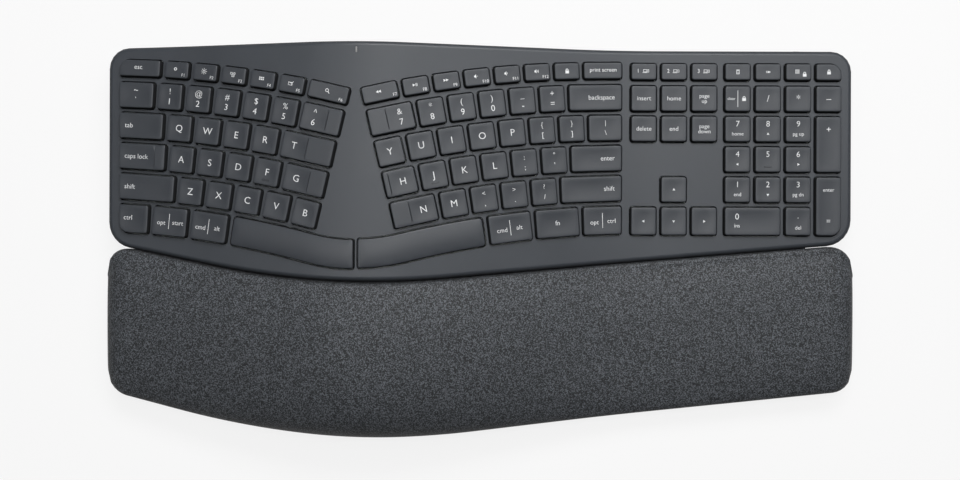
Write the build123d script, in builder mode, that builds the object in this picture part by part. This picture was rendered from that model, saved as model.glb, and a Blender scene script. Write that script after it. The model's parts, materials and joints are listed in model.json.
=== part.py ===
"""Ergonomic split keyboard with a fixed padded palm rest, in millimetres.

+X points right, +Y away from the typist, +Z up. The origin is on the desk under the middle of the keyboard.
The key bed is one arch: flat under the number pad, rising to a hump between the hands and falling to the left
end. It bends only along X, so the keys are laid out on the unrolled arch, in rows that are arcs for each hand,
and each key then stands square to the arch at its own place.
"""

from build123d import *
import os
from math import asin, atan, cos, radians, sin, sqrt, tan

os.makedirs("parts", exist_ok=True)

# Overall sizes
body_width = 452.0
palm_width = 456.0
rear_y = 116.5
overrun = 1.0
reach = 300.0
fit_gap = 0.3

# Arch of the case top
peak_x = -72.5
flat_z = 18.2
flank_angle = 11.2
hump_radius = 153.5
valley_radius = 297.5
right_flank = 96.5
left_flank = 59.8
left_sweep_radius = 929.5

# Plan of the body and of the palm rest
rear_corner_radius = 12.5
front_corner_radius = 16.0
seam_vee_x = -91.6
seam_vee_y = -27.8
seam_left_angle = 10.8
seam_right_angle = 4.8
seam_radius = 530.0
seam_gap = 0.4
front_vee_x = -95.1
front_vee_y = -124.5
front_left_angle = 13.7
front_right_angle = 5.9
front_radius = 535.0

# Case walls, upwards from the desk
foot_height = 2.0
floor_thickness = 2.4
parting_z = 8.0
case_wall = 2.2
rim_chamfer = 1.8
bottom_inset = 1.0
bottom_wall = 2.0

# Keys and their rows
key_pitch = 18.4
key_gap = 2.5
key_clearance = 0.4
key_rise = 2.6
key_skirt = 2.4
key_taper = 4.0
key_corner = 1.3
key_wall = 1.3
key_roof = 1.6
key_dish = 0.45
key_travel = 1.8
dish_flat_share = 0.5
outer_key_chamfer = 3.8
home_y = 50.1
function_step = 16.25
function_length = 10.4
bottom_step = 19.2
bottom_length = 17.45
row_radius = 636.0
left_row_s = -173.9
right_row_s = 168.6
left_start = 24.9
right_start = 7.2
left_inner_angle = 14.38
right_inner_angle = 13.97
navigation_gap = 2.9
block_gap = 1.8
left_hand_rise = 1.4
right_hand_rise = 0.45

# Cell widths of the keys that are wider than the pitch
escape_width = 29.25
grave_width = 24.9
tab_width = 31.0
caps_width = 32.4
left_shift_width = 38.3
left_ctrl_width = 21.65
left_option_width = 25.0
left_command_width = 25.9
print_width = 26.6
backspace_width = 35.65
backslash_width = 23.4
enter_width = 34.2
right_shift_width = 40.4
right_ctrl_width = 26.5
function_key_width = 29.55
right_command_width = 28.75

# Space bars
bar_bend_s = 26.3
bar_middle_gap = 1.0
left_bar_start = 98.7
right_bar_start = 93.3

# Layers under the keys, as depths below the case top
membrane_depth = 6.0
glue_gap = 0.05
dome_width = 6.0
membrane_thickness = 0.4
plate_thickness = 1.0
plate_inset = 7.5

# Palm rest
palm_rear_corner = 17.0
palm_front_corner = 12.0
palm_end_roll = 14.0
palm_crown = 3.0
palm_front_drop_share = 0.32
palm_roll = 13.0
palm_rear_roll = 3.5
palm_tuck = 1.6
palm_belly = 3.0
palm_hem_z = 9.5
palm_hem_rise_share = 0.4
fabric_thickness = 1.2
foam_edge = 2.0
deck_depth = 5.5
deck_thickness = 2.0
tray_lip_inset = 0.8
crown_share = 0.36
end_fullness_share = 0.25
rear_share = 0.72
roll_share = 0.2
front_roll_share = 0.25
end_shares = (0.0, 0.25, 1.0)
left_shares = (0.7,)
right_shares = (0.02, 0.23, 0.36, 0.48)
middle_shares = (-0.37, -0.2, 0.0, 0.2)
crown_shares = (0.0, 0.3, 0.55, 0.78, 1.0)
core_shares = (0.0, 0.5, 1.0)
roll_steps = 4
core_roll_steps = 1

# Screws and their bosses
screw_radius = 1.15
screw_head_radius = 2.5
screw_length = 9.0
screw_clearance = 0.15
screw_sides = 8
countersink_angle = 40.0
boss_width = 4.0
boss_inset = 5.6
boss_left_x = -186.0
boss_right_x = 140.0
palm_boss_left_x = -92.0
palm_boss_right_x = 40.0
palm_boss_y = -66.0
pilot_clearance = 0.05

# Batteries, door and stored receiver
cell_radius = 5.25
cell_length = 44.5
cell_sides = 16
cell_spacing = 11.2
bay_y = 75.0
bay_width = 24.0
bay_length = 66.0
bay_wall = 1.6
partition = 1.2
contact_thickness = 0.4
contact_width = 9.0
contact_height = 8.0
door_thickness = 1.4
door_border = 3.0
finger_notch = 5.0
finger_slot = 16.0
receiver_width = 14.4
receiver_length = 18.7
receiver_thickness = 6.1

# Circuit board, light and power switch
board_width = 66.0
board_length = 57.0
board_thickness = 1.2
board_z = 20.0
board_rear_y = 112.0
board_post = 4.0
chip_width = 12.0
chip_thickness = 1.2
light_width = 1.0
light_length = 3.4
light_y = 111.3
switch_x = 195.0
switch_width = 9.0
switch_depth = 3.2
switch_height = 4.4
switch_z = 8.6
knob_width = 4.0
knob_height = 2.6
knob_proud = 0.8
switch_travel = 3.0

# Ribs that carry the key plate
rib_thickness = 1.8
rib_headroom = 60.0
rib_pitch = 44.0
ribs_left = 3
ribs_right = 6
rib_front_y = 7.0
rib_rear_y = 104.0

# Palm-lift legs
leg_x = 150.0
hinge_y = -82.0
hinge_z = 4.4
leg_thickness = 4.4
tall_leg_width = 60.0
tall_leg_length = 28.0
short_leg_width = 35.2
short_leg_length = 17.5
leg_gap = 0.4
leg_bar = 9.0
leg_pad_thickness = 1.0
leg_pad_height = 3.2
leg_pad_share = 0.7
well_gap = 0.8
well_wall = 1.6
pin_radius = 1.2
pin_seat = 1.4
pin_clearance = 0.15
bore_sides = 12

# Rubber feet
foot_length = 26.0
foot_width = 8.0
foot_corner = 2.5
foot_inset_x = 30.0
foot_inset_y = 14.0

# Sizes worked out from the ones above
half_body = body_width / 2
half_palm = palm_width / 2
flank = radians(flank_angle)
hump_half = hump_radius * flank
right_flat_s = hump_half + right_flank + valley_radius * flank
peak_drop = (hump_radius + valley_radius) * (1 - cos(flank)) + right_flank * sin(flank)
peak_z = flat_z + peak_drop
key_height = key_rise + key_skirt
key_length = key_pitch - key_gap
plate_depth = membrane_depth + membrane_thickness
under_plate_depth = plate_depth + plate_thickness
dome_top_depth = key_skirt + key_travel + fit_gap
floor_z = foot_height + floor_thickness


# Arch geometry


def arch(s):
    """X, Z and slope in radians of the case top, s along the arch from its peak, positive to the right."""
    side = 1 if s >= 0 else -1
    run = abs(s)
    if run <= hump_half:
        turn = run / hump_radius
        return peak_x + side * hump_radius * sin(turn), peak_z - hump_radius * (1 - cos(turn)), -side * turn
    x = peak_x + side * hump_radius * sin(flank)
    z = peak_z - hump_radius * (1 - cos(flank))
    straight = right_flank if side > 0 else left_flank
    sweep = valley_radius if side > 0 else left_sweep_radius
    along = min(run - hump_half, straight)
    x += side * along * cos(flank)
    z -= along * sin(flank)
    if run - hump_half <= straight:
        return x, z, -side * flank
    turn = min((run - hump_half - straight) / sweep, flank)
    x += side * sweep * (sin(flank) - sin(flank - turn))
    z -= sweep * (cos(flank - turn) - cos(flank))
    rest = run - hump_half - straight - sweep * turn
    return x + side * rest, z, -side * (flank - turn)


def s_at(x):
    """Distance along the arch at which it stands over x."""
    side = 1 if x >= peak_x else -1
    across = abs(x - peak_x)
    if across <= hump_radius * sin(flank):
        return side * hump_radius * asin(across / hump_radius)
    straight = right_flank if side > 0 else left_flank
    sweep = valley_radius if side > 0 else left_sweep_radius
    across -= hump_radius * sin(flank)
    if across <= straight * cos(flank):
        return side * (hump_half + across / cos(flank))
    across -= straight * cos(flank)
    if across <= sweep * sin(flank):
        turn = flank - asin(sin(flank) - across / sweep)
        return side * (hump_half + straight + sweep * turn)
    return side * (hump_half + straight + sweep * flank + across - sweep * sin(flank))


def arch_z(x):
    """Height of the case top over x."""
    return arch(s_at(x))[1]


def arch_point(s, depth):
    """Point in the XZ plane at a depth square below the case top."""
    x, z, slope = arch(s)
    return x + depth * sin(slope), z - depth * cos(slope)


def arch_band(top_depth, bottom_depth=None, bottom_z=0):
    """Sketch in XZ between the arch at one depth and the arch at another depth, or a level line."""
    left = s_at(-half_palm - case_wall)
    right = s_at(half_palm + case_wall)
    knots = [left, -hump_half - left_flank, -hump_half, hump_half, hump_half + right_flank, right_flat_s, right]
    with BuildSketch() as sketch:
        with BuildLine():
            depths = [top_depth] if bottom_depth is None else [top_depth, bottom_depth]
            for depth in depths:
                for i, (a, b) in enumerate(zip(knots, knots[1:])):
                    if i % 2:
                        Line(arch_point(a, depth), arch_point(b, depth))
                    else:
                        ThreePointArc(arch_point(a, depth), arch_point((a + b) / 2, depth), arch_point(b, depth))
            upper_left, upper_right = arch_point(left, top_depth), arch_point(right, top_depth)
            if bottom_depth is None:
                Polyline(upper_left, (upper_left[0], bottom_z), (upper_right[0], bottom_z), upper_right)
            else:
                Line(upper_left, arch_point(left, bottom_depth))
                Line(upper_right, arch_point(right, bottom_depth))
        make_face()
    return sketch.sketch


# Plan outlines


def vee_line(x, apex_x, apex_y, left_angle, right_angle):
    """Front-to-back place of a vee-shaped edge over x, with its apex sharp."""
    if x < apex_x:
        return apex_y + tan(radians(left_angle)) * (apex_x - x)
    return apex_y + tan(radians(right_angle)) * (x - apex_x)


def rounded_vee(x, apex_x, apex_y, left_angle, right_angle, radius):
    """The same edge with its apex rounded."""
    left, right = radians(left_angle), radians(right_angle)
    centre_x = apex_x + radius * (1 / cos(left) - 1 / cos(right)) / (tan(left) + tan(right))
    centre_y = apex_y + radius / cos(left) - tan(left) * (centre_x - apex_x)
    if centre_x - radius * sin(left) < x < centre_x + radius * sin(right):
        return centre_y - sqrt(radius**2 - (x - centre_x) ** 2)
    return vee_line(x, apex_x, apex_y, left_angle, right_angle)


def seam_y(x):
    """Front edge of the body over x, rounded at the middle."""
    return rounded_vee(x, seam_vee_x, seam_vee_y, seam_left_angle, seam_right_angle, seam_radius)


def palm_front_y(x):
    """Front edge of the palm rest over x, rounded at the middle."""
    return rounded_vee(x, front_vee_x, front_vee_y, front_left_angle, front_right_angle, front_radius)


def rounded_outline(points, radii, inset=0):
    """Closed plan outline of straight edges with a radius at each corner, drawn in by an inset."""
    with BuildSketch() as sketch:
        with BuildLine():
            FilletPolyline(*points, radius=radii, close=True)
        make_face()
        if inset:
            offset(amount=-inset, kind=Kind.INTERSECTION)
    return sketch.sketch


def body_outline(inset=0):
    """Plan of the keyboard body."""
    points = [(-half_body, rear_y)]
    for x in (-half_body, seam_vee_x, half_body):
        points.append((x, vee_line(x, seam_vee_x, seam_vee_y, seam_left_angle, seam_right_angle)))
    points.append((half_body, rear_y))
    radii = [rear_corner_radius, front_corner_radius, seam_radius, front_corner_radius, rear_corner_radius]
    return rounded_outline(points, radii, inset)


def palm_outline(inset=0):
    """Plan of the palm rest."""
    rear = [
        (x, vee_line(x, seam_vee_x, seam_vee_y, seam_left_angle, seam_right_angle) - seam_gap)
        for x in (-half_palm, seam_vee_x, half_palm)
    ]
    front = [
        (x, vee_line(x, front_vee_x, front_vee_y, front_left_angle, front_right_angle))
        for x in (half_palm, front_vee_x, -half_palm)
    ]
    rear_radii = [palm_rear_corner, seam_radius, palm_rear_corner]
    front_radii = [palm_front_corner, front_radius, palm_front_corner]
    return rounded_outline(rear + front, rear_radii + front_radii, inset)


def arch_slab(plan, top_depth, bottom_depth=None, bottom_z=0):
    """The part of an arch band that stands over a plan."""
    with BuildPart() as slab:
        with BuildSketch(Plane.XZ):
            add(arch_band(top_depth, bottom_depth, bottom_z))
        extrude(amount=reach, both=True)
        with BuildSketch(Plane.XY):
            add(plan)
        extrude(amount=reach, both=True, mode=Mode.INTERSECT)
    return slab.part


# Key layout

row_y = {
    "function": home_y + 2 * key_pitch + function_step,
    "number": home_y + 2 * key_pitch,
    "upper": home_y + key_pitch,
    "home": home_y,
    "lower": home_y - key_pitch,
    "bottom": home_y - key_pitch - bottom_step,
}
row_length = {row: key_length for row in row_y}
row_length["function"] = function_length
row_length["bottom"] = bottom_length


class Key:
    """One key: where it stands on the unrolled arch, how it is turned there, and its outline."""

    def __init__(self, node, s, y, turn, width, length, **details):
        self.node, self.s, self.y, self.turn = node, s, y, turn
        self.width, self.length = width, length
        self.left_edge = details.get("left_edge")
        self.right_edge = details.get("right_edge")
        self.dished = details.get("dished", True)
        self.wing = details.get("wing", 0)
        self.round_corner = details.get("round_corner")

    def plane(self, height):
        """Plane square to the arch at this key, a height above the case top."""
        x, z, slope = arch(self.s)
        along = Vector(cos(slope), 0, sin(slope))
        normal = Vector(-sin(slope), 0, cos(slope))
        right = along * cos(self.turn) + Vector(0, 1, 0) * sin(self.turn)
        return Plane(origin=Vector(x, self.y, z) + normal * height, x_dir=right, z_dir=normal)

    def side(self, sign, v, grow):
        """How far the left (-1) or right (1) side is from the middle, at a distance v towards the rear."""
        edge = self.left_edge if sign < 0 else self.right_edge
        if edge is None:
            return sign * (self.width / 2 + grow)
        return (edge + sign * grow - self.s + v * sin(self.turn)) / cos(self.turn)

    def corners(self, grow=0):
        """Corners of the outline in the key's plane, from front left anticlockwise."""
        v = self.length / 2 + grow
        return [
            (self.side(-1, -v, grow), -v),
            (self.side(1, -v, grow), -v),
            (self.side(1, v, grow), v),
            (self.side(-1, v, grow), v),
        ]


keys = []


def add_hand_key(node, row_s, row, a, b, **details):
    """Key whose cell runs from a to b along its row's arc, counted from the hand's own centre line."""
    radius = row_radius + row_y[row] - home_y
    turn = (a + b) / 2 / radius
    s = row_s + radius * sin(turn)
    rise = left_hand_rise if row_s < 0 else right_hand_rise
    y = home_y + rise - row_radius + radius * cos(turn)
    details.setdefault("dished", row != "function")
    keys.append(Key(node, s, y, -turn, b - a - key_gap, row_length[row], **details))
    return b


def inner_end(row, angle):
    """Arc distance at which a row reaches the radial line that ends its hand."""
    return (row_radius + row_y[row] - home_y) * radians(angle)


left_rows = [
    ("function", "escape_key", escape_width, "function_keys_left", 5, 0, 3),
    ("number", "number_keys_left", grave_width, "number_keys_left", 5, 1, None),
    ("upper", "tab_key", tab_width, "upper_letters_left", 4, 1, None),
    ("home", "caps_lock_key", caps_width, "home_letters_left", 4, 1, None),
    ("lower", "left_shift_key", left_shift_width, "lower_letters_left", 4, 0, None),
]
left_key_edge = left_row_s + left_start + key_gap / 2
for row, first, width, node, count, wing, round_corner in left_rows:
    first_wing = 1 if first == "caps_lock_key" else 0
    a = add_hand_key(first, left_row_s, row, left_start, left_start + width, left_edge=left_key_edge,
                     wing=first_wing, round_corner=round_corner)
    for i in range(count):
        a = add_hand_key(node, left_row_s, row, a, a + key_pitch)
    add_hand_key(node, left_row_s, row, a, inner_end(row, left_inner_angle), wing=wing)
a = add_hand_key("modifier_keys_left", left_row_s, "bottom", left_start, left_start + left_ctrl_width,
                 left_edge=left_key_edge, round_corner=0)
a = add_hand_key("modifier_keys_left", left_row_s, "bottom", a, a + left_option_width)
a = add_hand_key("modifier_keys_left", left_row_s, "bottom", a, a + left_command_width)

right_rows = [
    ("function", "system_keys", print_width, "function_keys_right", 6, 0),
    ("number", "backspace_key", backspace_width, "number_keys_right", 5, -1),
    ("upper", "upper_letters_right", backslash_width, "upper_letters_right", 6, 0),
    ("home", "enter_key", enter_width, "home_letters_right", 5, -1),
    ("lower", "right_shift_key", right_shift_width, "lower_letters_right", 4, -1),
]
right_key_edge = right_row_s - right_start - key_gap / 2
for row, last, width, node, count, wing in right_rows:
    b = -right_start
    add_hand_key(last, right_row_s, row, b - width, b, right_edge=right_key_edge)
    b -= width
    for i in range(count):
        plain_node = "system_keys" if row == "function" and i == 0 else node
        add_hand_key(plain_node, right_row_s, row, b - key_pitch, b)
        b -= key_pitch
    add_hand_key(node, right_row_s, row, -inner_end(row, right_inner_angle), b, wing=wing)
b = -right_start
for i, width in enumerate((right_ctrl_width, function_key_width, right_command_width)):
    edge = right_key_edge if i == 0 else None
    add_hand_key("modifier_keys_right", right_row_s, "bottom", b - width, b, right_edge=edge)
    b -= width

navigation_s = right_row_s - right_start + navigation_gap
numpad_s = navigation_s + 3 * key_pitch + block_gap


def add_block_key(node, block_s, column, columns, low_row, high_row, **details):
    """Key of the straight blocks, over one or more columns and rows."""
    low = row_y[low_row] - row_length[low_row] / 2
    high = row_y[high_row] + row_length[high_row] / 2
    s = block_s + (column + columns / 2) * key_pitch
    details.setdefault("dished", low_row != "function")
    keys.append(Key(node, s, (low + high) / 2, 0, columns * key_pitch - key_gap, high - low, **details))


for column in range(3):
    add_block_key("device_keys", navigation_s, column, 1, "function", "function")
    add_block_key("navigation_keys", navigation_s, column, 1, "number", "number")
    add_block_key("navigation_keys", navigation_s, column, 1, "upper", "upper")
    add_block_key("arrow_keys", navigation_s, column, 1, "bottom", "bottom")
    add_block_key("numpad_digit_keys", numpad_s, column, 1, "upper", "upper")
    add_block_key("numpad_digit_keys", numpad_s, column, 1, "home", "home")
    add_block_key("numpad_digit_keys", numpad_s, column, 1, "lower", "lower")
add_block_key("arrow_keys", navigation_s, 1, 1, "lower", "lower")
for column in range(4):
    corner = 2 if column == 3 else None
    add_block_key("utility_keys", numpad_s, column, 1, "function", "function", round_corner=corner)
    add_block_key("numpad_operators", numpad_s, column, 1, "number", "number")
add_block_key("numpad_plus_key", numpad_s, 3, 1, "home", "upper")
add_block_key("numpad_enter_key", numpad_s, 3, 1, "bottom", "lower", round_corner=1)
add_block_key("numpad_zero_key", numpad_s, 0, 2, "bottom", "bottom")
add_block_key("numpad_decimal_key", numpad_s, 2, 1, "bottom", "bottom")


# Space bars, whose rows end in a bend that levels out at the hump


def bar_outline(side, grow=0):
    """Plan of a space bar: left (-1) or right (1), grown by a clearance."""
    row_s = left_row_s if side < 0 else right_row_s
    start = left_bar_start if side < 0 else -right_bar_start
    middle_radius = row_radius + row_y["bottom"] - home_y
    centre_y = home_y + (left_hand_rise if side < 0 else right_hand_rise) - row_radius
    outer_turn = start / middle_radius + side * grow / middle_radius
    bend_turn = asin((side * bar_bend_s - row_s) / middle_radius)
    end_x = peak_x + side * (bar_middle_gap - grow)

    def row_point(turn, radius):
        return arch(row_s + radius * sin(turn))[0], centre_y + radius * cos(turn)

    with BuildSketch() as sketch:
        with BuildLine():
            ends = []
            for half in (bottom_length / 2 + grow, -bottom_length / 2 - grow):
                radius = middle_radius + half
                outer = row_point(outer_turn, radius)
                bend = row_point(bend_turn, radius)
                ThreePointArc(outer, row_point((outer_turn + bend_turn) / 2, radius), bend)
                drop = abs(end_x - bend[0]) * tan(abs(bend_turn) / 2)
                end = (end_x, bend[1] - drop)
                TangentArc(bend, end, tangent=(-side * cos(bend_turn), -sin(abs(bend_turn))))
                ends.append((outer, end))
            Line(ends[0][0], ends[1][0])
            Line(ends[0][1], ends[1][1])
        make_face()
    return sketch.sketch


bars = {"left_space_bar": -1, "right_space_bar": 1}


# Top case: one moulding with a rounded rim, an opening for every key and bosses for the screws

boss_xs = (boss_left_x, boss_right_x)
body_bosses = [(x, rear_y - boss_inset) for x in boss_xs] + [(x, seam_y(x) + boss_inset) for x in boss_xs]
palm_bosses = [(x, palm_boss_y) for x in (palm_boss_left_x, palm_boss_right_x)]
boss_end_z = floor_z

case_cavity = arch_slab(body_outline(case_wall), case_wall)


def rim_edge(edge):
    """True for the upper edges round the outside of the case."""
    middle = edge.center()
    upright = abs(edge.tangent_at(0.5).Z) > cos(flank)
    crosswise = abs(edge.tangent_at(0.5).Y) > cos(flank)
    inside = abs(middle.X) < half_body - front_corner_radius and crosswise
    return middle.Z > parting_z + fit_gap and not upright and not inside


with BuildPart() as top_case:
    add(arch_slab(body_outline(), 0, bottom_z=parting_z))
    chamfer(top_case.edges().filter_by(rim_edge), length=rim_chamfer)
    add(case_cavity, mode=Mode.SUBTRACT)
    with BuildSketch(Plane.XY.offset(boss_end_z)):
        with Locations(*body_bosses):
            Rectangle(boss_width, boss_width)
    extrude(until=Until.NEXT)
    for key in keys:
        with BuildSketch(key.plane(overrun)):
            Polygon(*key.corners(key_clearance), align=None)
    extrude(amount=-case_wall - 2 * overrun, mode=Mode.SUBTRACT)
    for side in bars.values():
        add(arch_slab(bar_outline(side, key_clearance), -overrun, case_wall + overrun), mode=Mode.SUBTRACT)
    with BuildSketch(Plane.XY.offset(boss_end_z - overrun)):
        with Locations(*body_bosses):
            RegularPolygon(screw_radius + pilot_clearance, screw_sides)
    extrude(amount=screw_length + overrun, mode=Mode.SUBTRACT)
    with BuildSketch(Plane.XY.offset(peak_z - case_wall - overrun)):
        with Locations((peak_x, light_y)):
            Rectangle(light_width + fit_gap, light_length + fit_gap)
    extrude(amount=case_wall + 2 * overrun, mode=Mode.SUBTRACT)
    with BuildSketch(Plane.XZ.offset(-rear_y - overrun)):
        with Locations((switch_x, switch_z + switch_height / 2)):
            Rectangle(knob_width + switch_travel + 2 * fit_gap, knob_height + 2 * fit_gap)
    extrude(amount=case_wall + 2 * overrun, mode=Mode.SUBTRACT)
top_case.part.label = "top_case"
export_step(top_case.part, "parts/top_case.step")


# Keycaps: hollow caps with a tapered skirt and a top that is dished from side to side


def export_keycaps(node):
    """One node of keycaps, each its own solid square to the arch at its own place."""
    group = [key for key in keys if key.node == node]
    with BuildPart() as caps:
        for key in group:
            with BuildSketch(key.plane(-key_skirt)) as base:
                Polygon(*key.corners(), align=None)
                corners = base.vertices()
                if key.round_corner is not None:
                    point = key.corners()[key.round_corner]
                    corners = corners.sort_by_distance(point)[1:]
                    chamfer(corners, length=key_corner)
                    chamfer(base.vertices().sort_by_distance(point)[0], length=outer_key_chamfer)
                else:
                    chamfer(corners, length=key_corner)
        extrude(amount=key_height, taper=key_taper)
        dished = [key for key in group if key.dished]
        for key in dished:
            top = key.plane(key_rise)
            left, right = key.side(-1, 0, 0), key.side(1, 0, 0)
            if key.wing > 0:
                right = left + key_length
            if key.wing < 0:
                left = right - key_length
            slope = (right - left) * (1 - dish_flat_share) / 2
            with BuildSketch(Plane(origin=top.origin, x_dir=top.x_dir, z_dir=top.y_dir)):
                Polygon((left, 0), (left, -overrun), (right, -overrun), (right, 0), (right - slope, key_dish),
                        (left + slope, key_dish), align=None)
        if dished:
            extrude(amount=bottom_length + key_pitch, both=True, mode=Mode.SUBTRACT)
        for key in group:
            with BuildSketch(key.plane(-key_skirt)):
                Polygon(*key.corners(-key_wall), align=None)
        extrude(amount=key_height - key_roof, mode=Mode.SUBTRACT)
    caps.part.label = node
    export_step(caps.part, f"parts/{node}.step")
    normal = sum((key.plane(0).z_dir for key in group), Vector(0, 0, 0)).normalized()
    print("travel", node, len(group), round(-normal.X, 4), 0, round(-normal.Z, 4))


for node in dict.fromkeys(key.node for key in keys):
    export_keycaps(node)


# Space bars: long caps that follow the arch and press straight down

for node, side in bars.items():
    pocket = arch_slab(bar_outline(side, -key_wall), key_roof - key_rise, key_skirt + overrun)
    with BuildPart() as bar:
        add(arch_slab(bar_outline(side), -key_rise, key_skirt))
        add(pocket, mode=Mode.SUBTRACT)
    bar.part.label = node
    export_step(bar.part, f"parts/{node}.step")


# Layers under the keys: rubber domes, printed membrane and a pressed steel plate, all bent to the arch


def key_layer(top_depth, bottom_depth):
    """Sheet that follows the arch under the keys, notched round the bosses and the light."""
    front = [(x, vee_line(x, seam_vee_x, seam_vee_y, seam_left_angle, seam_right_angle))
             for x in (-half_body, seam_vee_x, half_body)]
    with BuildSketch() as sheet:
        Polygon((-half_body, rear_y), *front, (half_body, rear_y), align=None)
        offset(amount=-plate_inset, kind=Kind.INTERSECTION)
        with Locations(*body_bosses):
            Rectangle(boss_width + 2 * case_wall, boss_width + 2 * case_wall, mode=Mode.SUBTRACT)
        with Locations((peak_x, light_y)):
            Rectangle(light_width + 2 * case_wall, light_length + 2 * case_wall, mode=Mode.SUBTRACT)
    return arch_slab(sheet.sketch, top_depth, bottom_depth)


with BuildPart() as rubber_domes:
    for key in keys:
        with BuildSketch(key.plane(glue_gap - membrane_depth)):
            Rectangle(dome_width, dome_width)
    extrude(amount=membrane_depth - glue_gap - dome_top_depth)
rubber_domes.part.label = "rubber_domes"
export_step(rubber_domes.part, "parts/rubber_domes.step")

membrane_circuit = key_layer(membrane_depth, plate_depth)
membrane_circuit.label = "membrane_circuit"
export_step(membrane_circuit, "parts/membrane_circuit.step")

key_plate = key_layer(plate_depth, under_plate_depth)
key_plate.label = "key_plate"
export_step(key_plate, "parts/key_plate.step")


# Palm rest: a fabric cover over a foam pad, on a moulded tray


def corner_draw(distance, radius):
    """How far a rounded plan corner draws in, at a distance from the end."""
    if distance >= radius:
        return 0
    return radius - sqrt(radius**2 - (radius - distance) ** 2)


def hem_z(x):
    """Height of the fabric's lower edge."""
    return palm_hem_z + palm_hem_rise_share * (arch_z(x) - flat_z)


def palm_stations(inset):
    """Places along X of the cross sections, closer together round the ends and over the hump."""
    end = half_palm - inset
    rolled = [end - palm_end_roll * share for share in end_shares]
    inner = [peak_x + hump_radius * share for share in middle_shares]
    outer_left = [-end * share for share in left_shares]
    outer_right = [end * share for share in right_shares]
    return sorted([-x for x in rolled] + outer_left + inner + outer_right + rolled)


def palm_section(x, inset, bottom_z):
    """Cross section of the padded rest at x, drawn in by an inset; a point list and the two upper arcs."""
    distance = half_palm - inset - abs(x)
    roll = min(distance / palm_end_roll, 1)
    fullness = end_fullness_share + (1 - end_fullness_share) * sqrt(1 - (1 - roll) ** 2)
    rear = seam_y(x) - seam_gap - inset - corner_draw(distance, palm_rear_corner)
    front = palm_front_y(x) + inset + corner_draw(distance, palm_front_corner)
    low = hem_z(x) if bottom_z is None else bottom_z
    widest = hem_z(x) + palm_belly
    top = arch_z(x) - inset
    rise = fullness * (top - widest)
    front_top = widest + rise * (1 - palm_front_drop_share)
    crown = widest + rise + fullness * palm_crown
    rear_top = widest + rise
    return low, widest, front, rear, front_top, crown, rear_top


def rolled_steps(a, b, count):
    """Points of nearly a quarter turn from a to b, bulging to the left of the way from a to b."""
    across, along = b[0] - a[0], b[1] - a[1]
    half = 2 * atan(2 * roll_share)
    points = []
    for i in range(count + 1):
        angle = half * (2 * i / count - 1)
        share = (1 + sin(angle) / sin(half)) / 2
        bulge = (cos(angle) - cos(half)) / (2 * sin(half))
        points.append((a[0] + across * share - along * bulge, a[1] + along * share + across * bulge))
    return points


def crown_steps(a, crown, b, shares):
    """Points that rise from a over a crown and fall to b."""
    rising = [(a[0] + (crown[0] - a[0]) * share, crown[1] - (crown[1] - a[1]) * (1 - share) ** 2) for share in shares]
    falling = [(b[0] + (crown[0] - b[0]) * share, crown[1] - (crown[1] - b[1]) * (1 - share) ** 2) for share in shares]
    return rising + falling[-2::-1]


def palm_body(inset, bottom_z=None):
    """Solid of the padded rest, lofted through its cross sections, in finer steps outside than inside."""
    count = core_roll_steps if inset else roll_steps
    shares = core_shares if inset else crown_shares
    with BuildPart() as pad:
        for x in palm_stations(inset):
            low, widest, front, rear, front_top, crown, rear_top = palm_section(x, inset, bottom_z)
            front_shoulder = (front + min(palm_roll, (rear - front) * front_roll_share), front_top)
            rear_shoulder = (rear - palm_rear_roll, rear_top)
            rear_edge = (rear, widest + (rear_top - widest) * rear_share)
            top = (rear - (rear - front) * crown_share, crown)
            points = rolled_steps((front, widest), front_shoulder, count)
            points += crown_steps(front_shoulder, top, rear_shoulder, shares)[1:-1]
            points += rolled_steps(rear_shoulder, rear_edge, count)
            points += [(rear, widest), (rear - palm_tuck, low), (front + palm_tuck, low)]
            with BuildSketch(Plane.YZ.offset(x)):
                Polygon(*points, align=None)
        loft(ruled=True)
    return pad.part


tray_core = palm_body(fabric_thickness + foam_edge, parting_z) & arch_slab(palm_outline(), deck_depth)
palm_core = palm_body(fabric_thickness)

with BuildPart() as palm_rest_cover:
    add(palm_body(0))
    add(palm_body(fabric_thickness, parting_z), mode=Mode.SUBTRACT)
palm_rest_cover.part.label = "palm_rest_cover"
export_step(palm_rest_cover.part, "parts/palm_rest_cover.step")

with BuildPart() as palm_rest_foam:
    add(palm_core)
    add(tray_core, mode=Mode.SUBTRACT)
palm_rest_foam.part.label = "palm_rest_foam"
export_step(palm_rest_foam.part, "parts/palm_rest_foam.step")

with BuildPart() as palm_rest_tray:
    for x in palm_stations(tray_lip_inset):
        low, widest, front, rear, front_top, crown, rear_top = palm_section(x, tray_lip_inset, parting_z)
        with BuildSketch(Plane.YZ.offset(x)):
            Polygon((front, low), (rear, low), (rear, hem_z(x)), (front, hem_z(x)), align=None)
    loft(ruled=True)
    add(tray_core)
    add(palm_body(fabric_thickness + foam_edge + deck_thickness, parting_z - overrun)
        & arch_slab(palm_outline(), deck_depth + deck_thickness), mode=Mode.SUBTRACT)
    with BuildSketch(Plane.XY.offset(boss_end_z)):
        with Locations(*palm_bosses):
            Rectangle(boss_width, boss_width)
    extrude(until=Until.NEXT)
    with BuildSketch(Plane.XY.offset(boss_end_z - overrun)):
        with Locations(*palm_bosses):
            RegularPolygon(screw_radius + pilot_clearance, screw_sides)
    extrude(amount=screw_length + overrun, mode=Mode.SUBTRACT)
palm_rest_tray.part.label = "palm_rest_tray"
export_step(palm_rest_tray.part, "parts/palm_rest_tray.step")


# Bottom case: one tray under the body and the palm rest, with wells for the legs and the battery bay


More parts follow.
